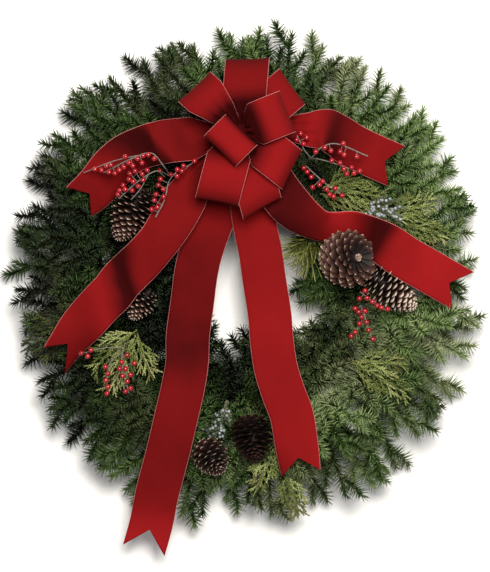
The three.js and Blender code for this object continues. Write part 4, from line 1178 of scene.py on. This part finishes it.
def sheet_faces(rows, wide):
    """The faces of a closed sheet: its upper side, its lower side and its rim. A side's points come
    row by row, the lower side's after the upper side's."""
    total = rows * wide
    faces = []
    for r in range(rows - 1):
        for a in range(r * wide, r * wide + wide - 1):
            quad = (a, a + wide, a + wide + 1, a + 1)
            faces += [quad, tuple(total + i for i in reversed(quad))]
    rim = [*range(wide), *range(2 * wide - 1, total, wide)]
    rim += [*range(total - 2, total - wide - 1, -1), *range(total - 2 * wide, 0, -wide)]
    return faces + [(a, b, total + b, total + a) for a, b in zip(rim, rim[1:] + rim[:1])]


def hem_points(edge, inside):
    """Points round an edge of the ribbon, and where the middle of the ribbon lies."""
    placed = in_row_frame(edge)
    out = unit(edge - inside)
    up = unit(np.cross(unit(np.gradient(placed, axis=0)), out))
    turns = [2 * math.pi * i / HEM_SIDES for i in range(HEM_SIDES)]
    return [placed[r] + (out[r] * math.cos(a) + up[r] * math.sin(a)) * HEM_R * MM
            for r in range(len(placed)) for a in turns]


def strip_piece(name, centre, rows, uv, nap):
    """The ribbon's solid cloth and hems around the points of its middle surface, row by row."""
    wide = COLUMNS + 1
    grid = centre.reshape(rows, wide, 3)
    normal = unit(np.cross(np.gradient(grid, axis=0), np.gradient(grid, axis=1))).reshape(-1, 3)
    points = [*in_row_frame(centre + normal * RIBBON_T / 2), *in_row_frame(centre - normal * RIBBON_T / 2)]
    faces = sheet_faces(rows, wide)
    cloth_points = len(points)
    cloth_faces = len(faces)
    for column in (0, wide - 1):
        faces += tube_faces(rows, HEM_SIDES, len(points))
        points += hem_points(grid[:, column], grid[:, wide // 2])
    mesh = new_mesh(name, points, faces)
    # Painted shade where the cloth is turned on edge, on top of each row's painted light; the hems take none
    turned = nap - EDGE_ON_PAINTED_SHADE * (1 - np.abs(normal[:, 2]))
    store(mesh, "nap", np.concatenate([turned, turned, np.ones(len(points) - cloth_points)]))
    mesh.materials.append(VELVET)
    mesh.materials.append(HEM)
    mesh.polygons.foreach_set("material_index", [0] * cloth_faces + [1] * (len(faces) - cloth_faces))
    layer = mesh.uv_layers.new(name="UVMap")
    for loop in mesh.loops:
        i = loop.vertex_index
        layer.data[loop.index].uv = uv[i % len(uv)] if i < cloth_points else (0, 0)
    return new_object(name, mesh)


# Middles of the tails, in millimetres, with the bank of the ribbon in degrees and its painted
# light: from 0, deep painted shade in troughs, creases and near the knot, to 1 and above, painted highlight
TAILS = {
    "tail_upper_left": [
        (-47, 206, 125, 0, 0.4), (-83, 201, 133, 0, 0.5), (-112, 198, 147, 0, 0.56),
        (-128, 195, 149, 8, 0.5), (-147, 190, 129, 14, 0.12), (-172, 179, 118, 12, 0.34),
        (-194, 160, 112, -2, 0.68), (-216, 133, 103, -14, 0.64), (-246, 106, 97, -30, 0.74)],
    "tail_upper_right": [
        (33, 213, 121, 0, 0.3), (62, 215, 124, 0, 0.4), (80, 216, 130, 0, 0.8), (98, 215, 140, 0, 0.92),
        (118, 215, 145, -8, 0.6), (139, 206, 124, -12, 0.36), (158, 193, 115, 0, 0.46),
        (188, 178, 118, 4, 0.68), (225, 162, 106, 0, 0.72)],
    "tail_right": [
        (27, 164, 122, 0, 0.24), (59, 115, 128, 0, 0.2), (83, 90, 120, 25, 0.34), (110, 74, 111, 45, 0.7),
        (135, 71, 106, 46, 1.3), (160, 71, 108, 44, 1.2), (180, 64, 113, 40, 0.5),
        (198, 54, 114, 26, 0.12), (216, 42, 111, 8, 0.76), (238, 27, 112, 0, 0.85), (275, 6, 106, 0, 1),
        (324, -22, 90, 0, 1)],
    "tail_lower_left": [
        (-46, 169, 114, 0, 0.4), (-80, 125, 121, 8, 0.58), (-101, 89, 125, 0, 0.6),
        (-124, 53, 124, -18, 0.62), (-150, 23, 129, -14, 0.56), (-165, 9, 126, -8, 0.4),
        (-182, -8, 112, 0, 0.1), (-194, -24, 113, 0, 0.54), (-208, -38, 116, -8, 0.78),
        (-234, -67, 108, -12, 0.66), (-259, -98, 99, -34, 0.72), (-286, -136, 90, -46, 0.7)],
    "tail_long_left": [
        (-16, 160, 101, 0, 0.4), (-44, 90, 97, 0, 0.6), (-62, 41, 94, 0, 0.46), (-70, 9, 92, 0, 0.42),
        (-77, -43, 90, 0, 0.38), (-83, -89, 96, 0, 0.3), (-84, -126, 108, 10, 0.34),
        (-90, -164, 112, 5, 0.52), (-101, -212, 110, 0, 0.54), (-112, -259, 104, 0, 0.5),
        (-129, -324, 86, 0, 0.7), (-137, -364, 66, 0, 1.1), (-149, -408, 46, 0, 1.3)],
    "tail_long_centre": [
        (7, 149, 107, 0, 0.5), (15, 80, 102, 0, 0.72), (24, 36, 97, 0, 0.76), (30, -6, 93, 0, 0.76),
        (38, -58, 92, 0, 0.82), (41, -95, 100, 0, 0.82), (47, -136, 113, 0, 0.74),
        (58, -172, 116, 0, 0.76), (70, -204, 114, 0, 0.84), (77, -246, 110, 8, 0.9),
        (84, -297, 98, 28, 0.92)],
}
# Height at the knot, the direction in which a tail leaves it, the depth of its dovetail, the slant
# of its folds and of its cut end, and how far from the knot it is full width
TAIL_ROOT = {
    "tail_upper_left": (120, 186, 21, 22, 3, TAIL_OPENS),
    "tail_upper_right": (116, 0, 20, 0, 0, 125),
    "tail_right": (119, 300, 25, 6, 0, TAIL_OPENS),
    "tail_lower_left": (111, 236, 33, -22, 12, 118),
    "tail_long_left": (102, 257, 36, 0, 0, TAIL_OPENS),
    "tail_long_centre": (106, 280, 25, 0, -5, TAIL_OPENS),
}


def tail(name):
    """A ribbon tail, from the knot's face to its dovetailed end."""
    z, degrees, notch, slant, skew, opens = TAIL_ROOT[name]
    start = polar(degrees, KNOT_R + 0.5, z)
    first = (start[0] + KNOT[0], start[1] + KNOT[1], z, 0, TAILS[name][0][4])
    path = smooth_path([first, *TAILS[name]], 4)
    ahead = unit(np.gradient(path[:, :3], axis=0))
    level = unit(np.cross(UP, ahead))
    bank = np.radians(path[:, 3:4])
    across = level * np.cos(bank) + np.cross(ahead, level) * np.sin(bank)
    arc = arc_lengths(path)
    # The path's fifth column is each row's painted light and shade
    piece = ribbon(name + "_ribbon", path[:, :3], across, open_share(arc, opens), notch, path[:, 4],
                   slant, skew)
    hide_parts(name)
    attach(piece, "root")
    return piece


# Bow loops: direction, reach, direction of the ribbon's edges, the low, fold and high heights, how
# far from the knot the ribbon is full width, how near to the knot it turns down, its painted
# light and shade away from the knot, and by how much its root lies to the left of the knot's middle
LOOPS = [
    (85, 105, 92, 140, 154, 172, 50, 0.25, 0.54, 0),
    (137, 93, 133, 141, 156, 174, 80, 0.25, 0.68, 0),
    (225, 43, 226, 162, 186, 202, 40, 0.07, 0.8, 0),
    (22, 72, 22, 152, 176, 194, 50, 0.25, 0.78, 0),
    (41, 98, 36, 139, 150, 164, 50, 0.25, 0.7, 0),
    (-38, 93, -27, 139, 156, 178, 50, 0.25, 0.84, 0),
    (255, 109, 259, 140, 158, 180, 50, 0.25, 0.8, -7.6),
    (285, 117, 300, 136, 148, 166, 50, 0.25, 0.8, 0),
]
LEAVES_Z = 131  # the heights at which a loop leaves the knot and comes back to it
RETURNS_Z = 137
SHORT_DIP = 20  # how far a loop has come down where it turns to the knot
LATE_DIP = 4  # and one that stays high until it is nearly there
LATE_TURN = 0.1
KNOT_PAINTED_SHADE = (20, 72)  # painted shade among the loops: darkest as near to the knot as the first, and gone from the second


def bow_loop(number, loop):
    """A loop of ribbon: out low, folded over at its far end, and back high."""
    degrees, reach, edge, low, fold, high, opens, turns, pile_and_painted_light, aside = loop
    knot = np.array([KNOT[0], KNOT[1], 0]) + polar(degrees + 90, aside, 0)
    root = (KNOT_R - 4) / reach
    dip = SHORT_DIP if turns > LATE_TURN else LATE_DIP
    stations = [(root, LEAVES_Z), (0.45, low), (0.88, low + 3), (1, fold), (0.86, high - 3), (0.5, high),
                (turns, high - dip), (root, RETURNS_Z)]
    path = smooth_path([polar(degrees, reach * share, z) + knot for share, z in stations], 3.5)
    across = np.tile(polar(edge + 90, 1, 0), (len(path), 1))
    arc = arc_lengths(path)
    from_knot = np.minimum(arc, arc[-1] - arc)
    gathered = open_share(from_knot, opens)
    # Painted shade near the knot, where shade falls among the loops, fading to the loop's own painted light
    nap = np.interp(from_knot, KNOT_PAINTED_SHADE, (-0.1, pile_and_painted_light))
    piece = ribbon(f"bow_loop_{number}", path, across, gathered, 0, nap)
    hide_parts("bow_loops")
    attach(piece, "root")
    return piece


def bow_knot():
    """The pinched middle of the bow: ribbon drawn together into upright folds."""
    points = []
    for r in range(KNOT_ROWS + 1):
        for i in range(KNOT_SIDES):
            a = 2 * math.pi * i / KNOT_SIDES
            wave = KNOT_R - FOLD_MM + FOLD_MM * math.cos(KNOT_FOLDS * a + r * 0.15)
            height = KNOT_LONG * (r / KNOT_ROWS - 0.5)
            points.append(np.array(KNOT) + (wave * math.cos(a), wave * math.sin(a), height))
    mesh = new_mesh("bow_knot", in_row_frame(points), tube_faces(KNOT_ROWS + 1, KNOT_SIDES))
    piece = new_object("bow_knot", mesh)
    # Painted shade: the knot is painted dark, deep among the loops
    store(mesh, "nap", np.full(len(points), 0.1))
    mesh.materials.append(VELVET)
    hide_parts("bow_loops")
    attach(piece, "root")


# Stage, light and camera

FLOOR_HALF = 14
LAMP_SIDE = 1.2
LAMP_WATTS = 104
BACKGROUND = 0.34  # how bright the plain white around is


def floor():
    """White ground that the wreath lies on."""
    corners = [(x * FLOOR_HALF, y * FLOOR_HALF, 0) for x, y in ((-1, -1), (1, -1), (1, 1), (-1, 1))]
    made = new_object("floor", new_mesh("floor", corners, [(0, 1, 2, 3)], smooth=False))
    made.data.materials.append(paper())


def area_light(name, place, aim, size, watts, colour):
    """A square lamp at a place, aimed at a point."""
    lamp = bpy.data.lights.new(name, "AREA")
    lamp.size = size
    lamp.energy = watts
    lamp.color = linear(colour)[:3]
    made = new_object(name, lamp)
    made.location = place
    made.rotation_euler = (Vector(aim) - Vector(place)).to_track_quat("-Z", "Y").to_euler()


def light():
    """One soft lamp towards the wreath's top, and a plain white background."""
    area_light("key", (0.25, 0.8, 2.6), (0, 0, 0.05), LAMP_SIDE, LAMP_WATTS, "#fffaf2")
    world = bpy.data.worlds.new("studio")
    world.use_nodes = True
    background = world.node_tree.nodes["Background"]
    background.inputs["Color"].default_value = linear("#ffffff")
    background.inputs["Strength"].default_value = BACKGROUND
    bpy.context.scene.world = world
    bpy.context.scene.view_settings.view_transform = "Standard"


CAMERA_HEIGHT = 8.0
SHARP_Z = 0.08  # the height at which the photograph's scale holds
PHOTO_SIZE = (490, 572)
SENSOR = 24


def camera():
    """Looks straight down from high up, framed as the photograph is."""
    made = bpy.data.cameras.new("camera")
    made.sensor_fit = "VERTICAL"
    made.sensor_height = SENSOR
    made.sensor_width = SENSOR
    made.lens = SENSOR * (CAMERA_HEIGHT - SHARP_Z) / (PHOTO_SIZE[1] * PIXEL * MM)
    made.clip_end = 50
    x, y = from_photo(PHOTO_SIZE[0] / 2, PHOTO_SIZE[1] / 2)
    holder = new_object("camera", made)
    holder.location = (CENTRE.x + x * MM, CENTRE.y + y * MM, CAMERA_HEIGHT)
    bpy.context.scene.camera = holder


bow_knot()
ribbons = [bow_loop(number + 1, loop) for number, loop in enumerate(LOOPS)]
ribbons += [tail(ribbon_tail) for ribbon_tail in TAILS]
covering = [made.data for made in ribbons] + [nodes[cone].data for cone in CONES]
cover_points, cover_faces = solids_of(covering)
cover = BVHTree.FromPolygons(cover_points, cover_faces)
KEEP_CLEAR = new_object("keep_clear", new_mesh("keep_clear", cover_points, cover_faces, smooth=False))
for bunch in range(BUNCHES):
    fir_bunch(bunch)
for spray, spray_axes in CEDAR_SPRAYS.items():
    cedar_spray(spray, spray_axes)
for spray, spray_axes in JUNIPER_SPRAYS.items():
    juniper_spray(spray, spray_axes)
pine_spray()
for sprig in SPRIGS:
    berry_sprig(sprig)
for number, cone in enumerate(CONES):
    pine_cone(cone, number)
for node in ("wire_ring", "bow_tie"):
    nodes[node].data.materials.clear()
    nodes[node].data.materials.append(WIRE)
for helper in (FIR_NEEDLE, SCALE_LEAF, LONG_NEEDLE, BALL, CONE_SCALE, KEEP_CLEAR):
    bpy.data.objects.remove(helper)
floor()
light()
camera()
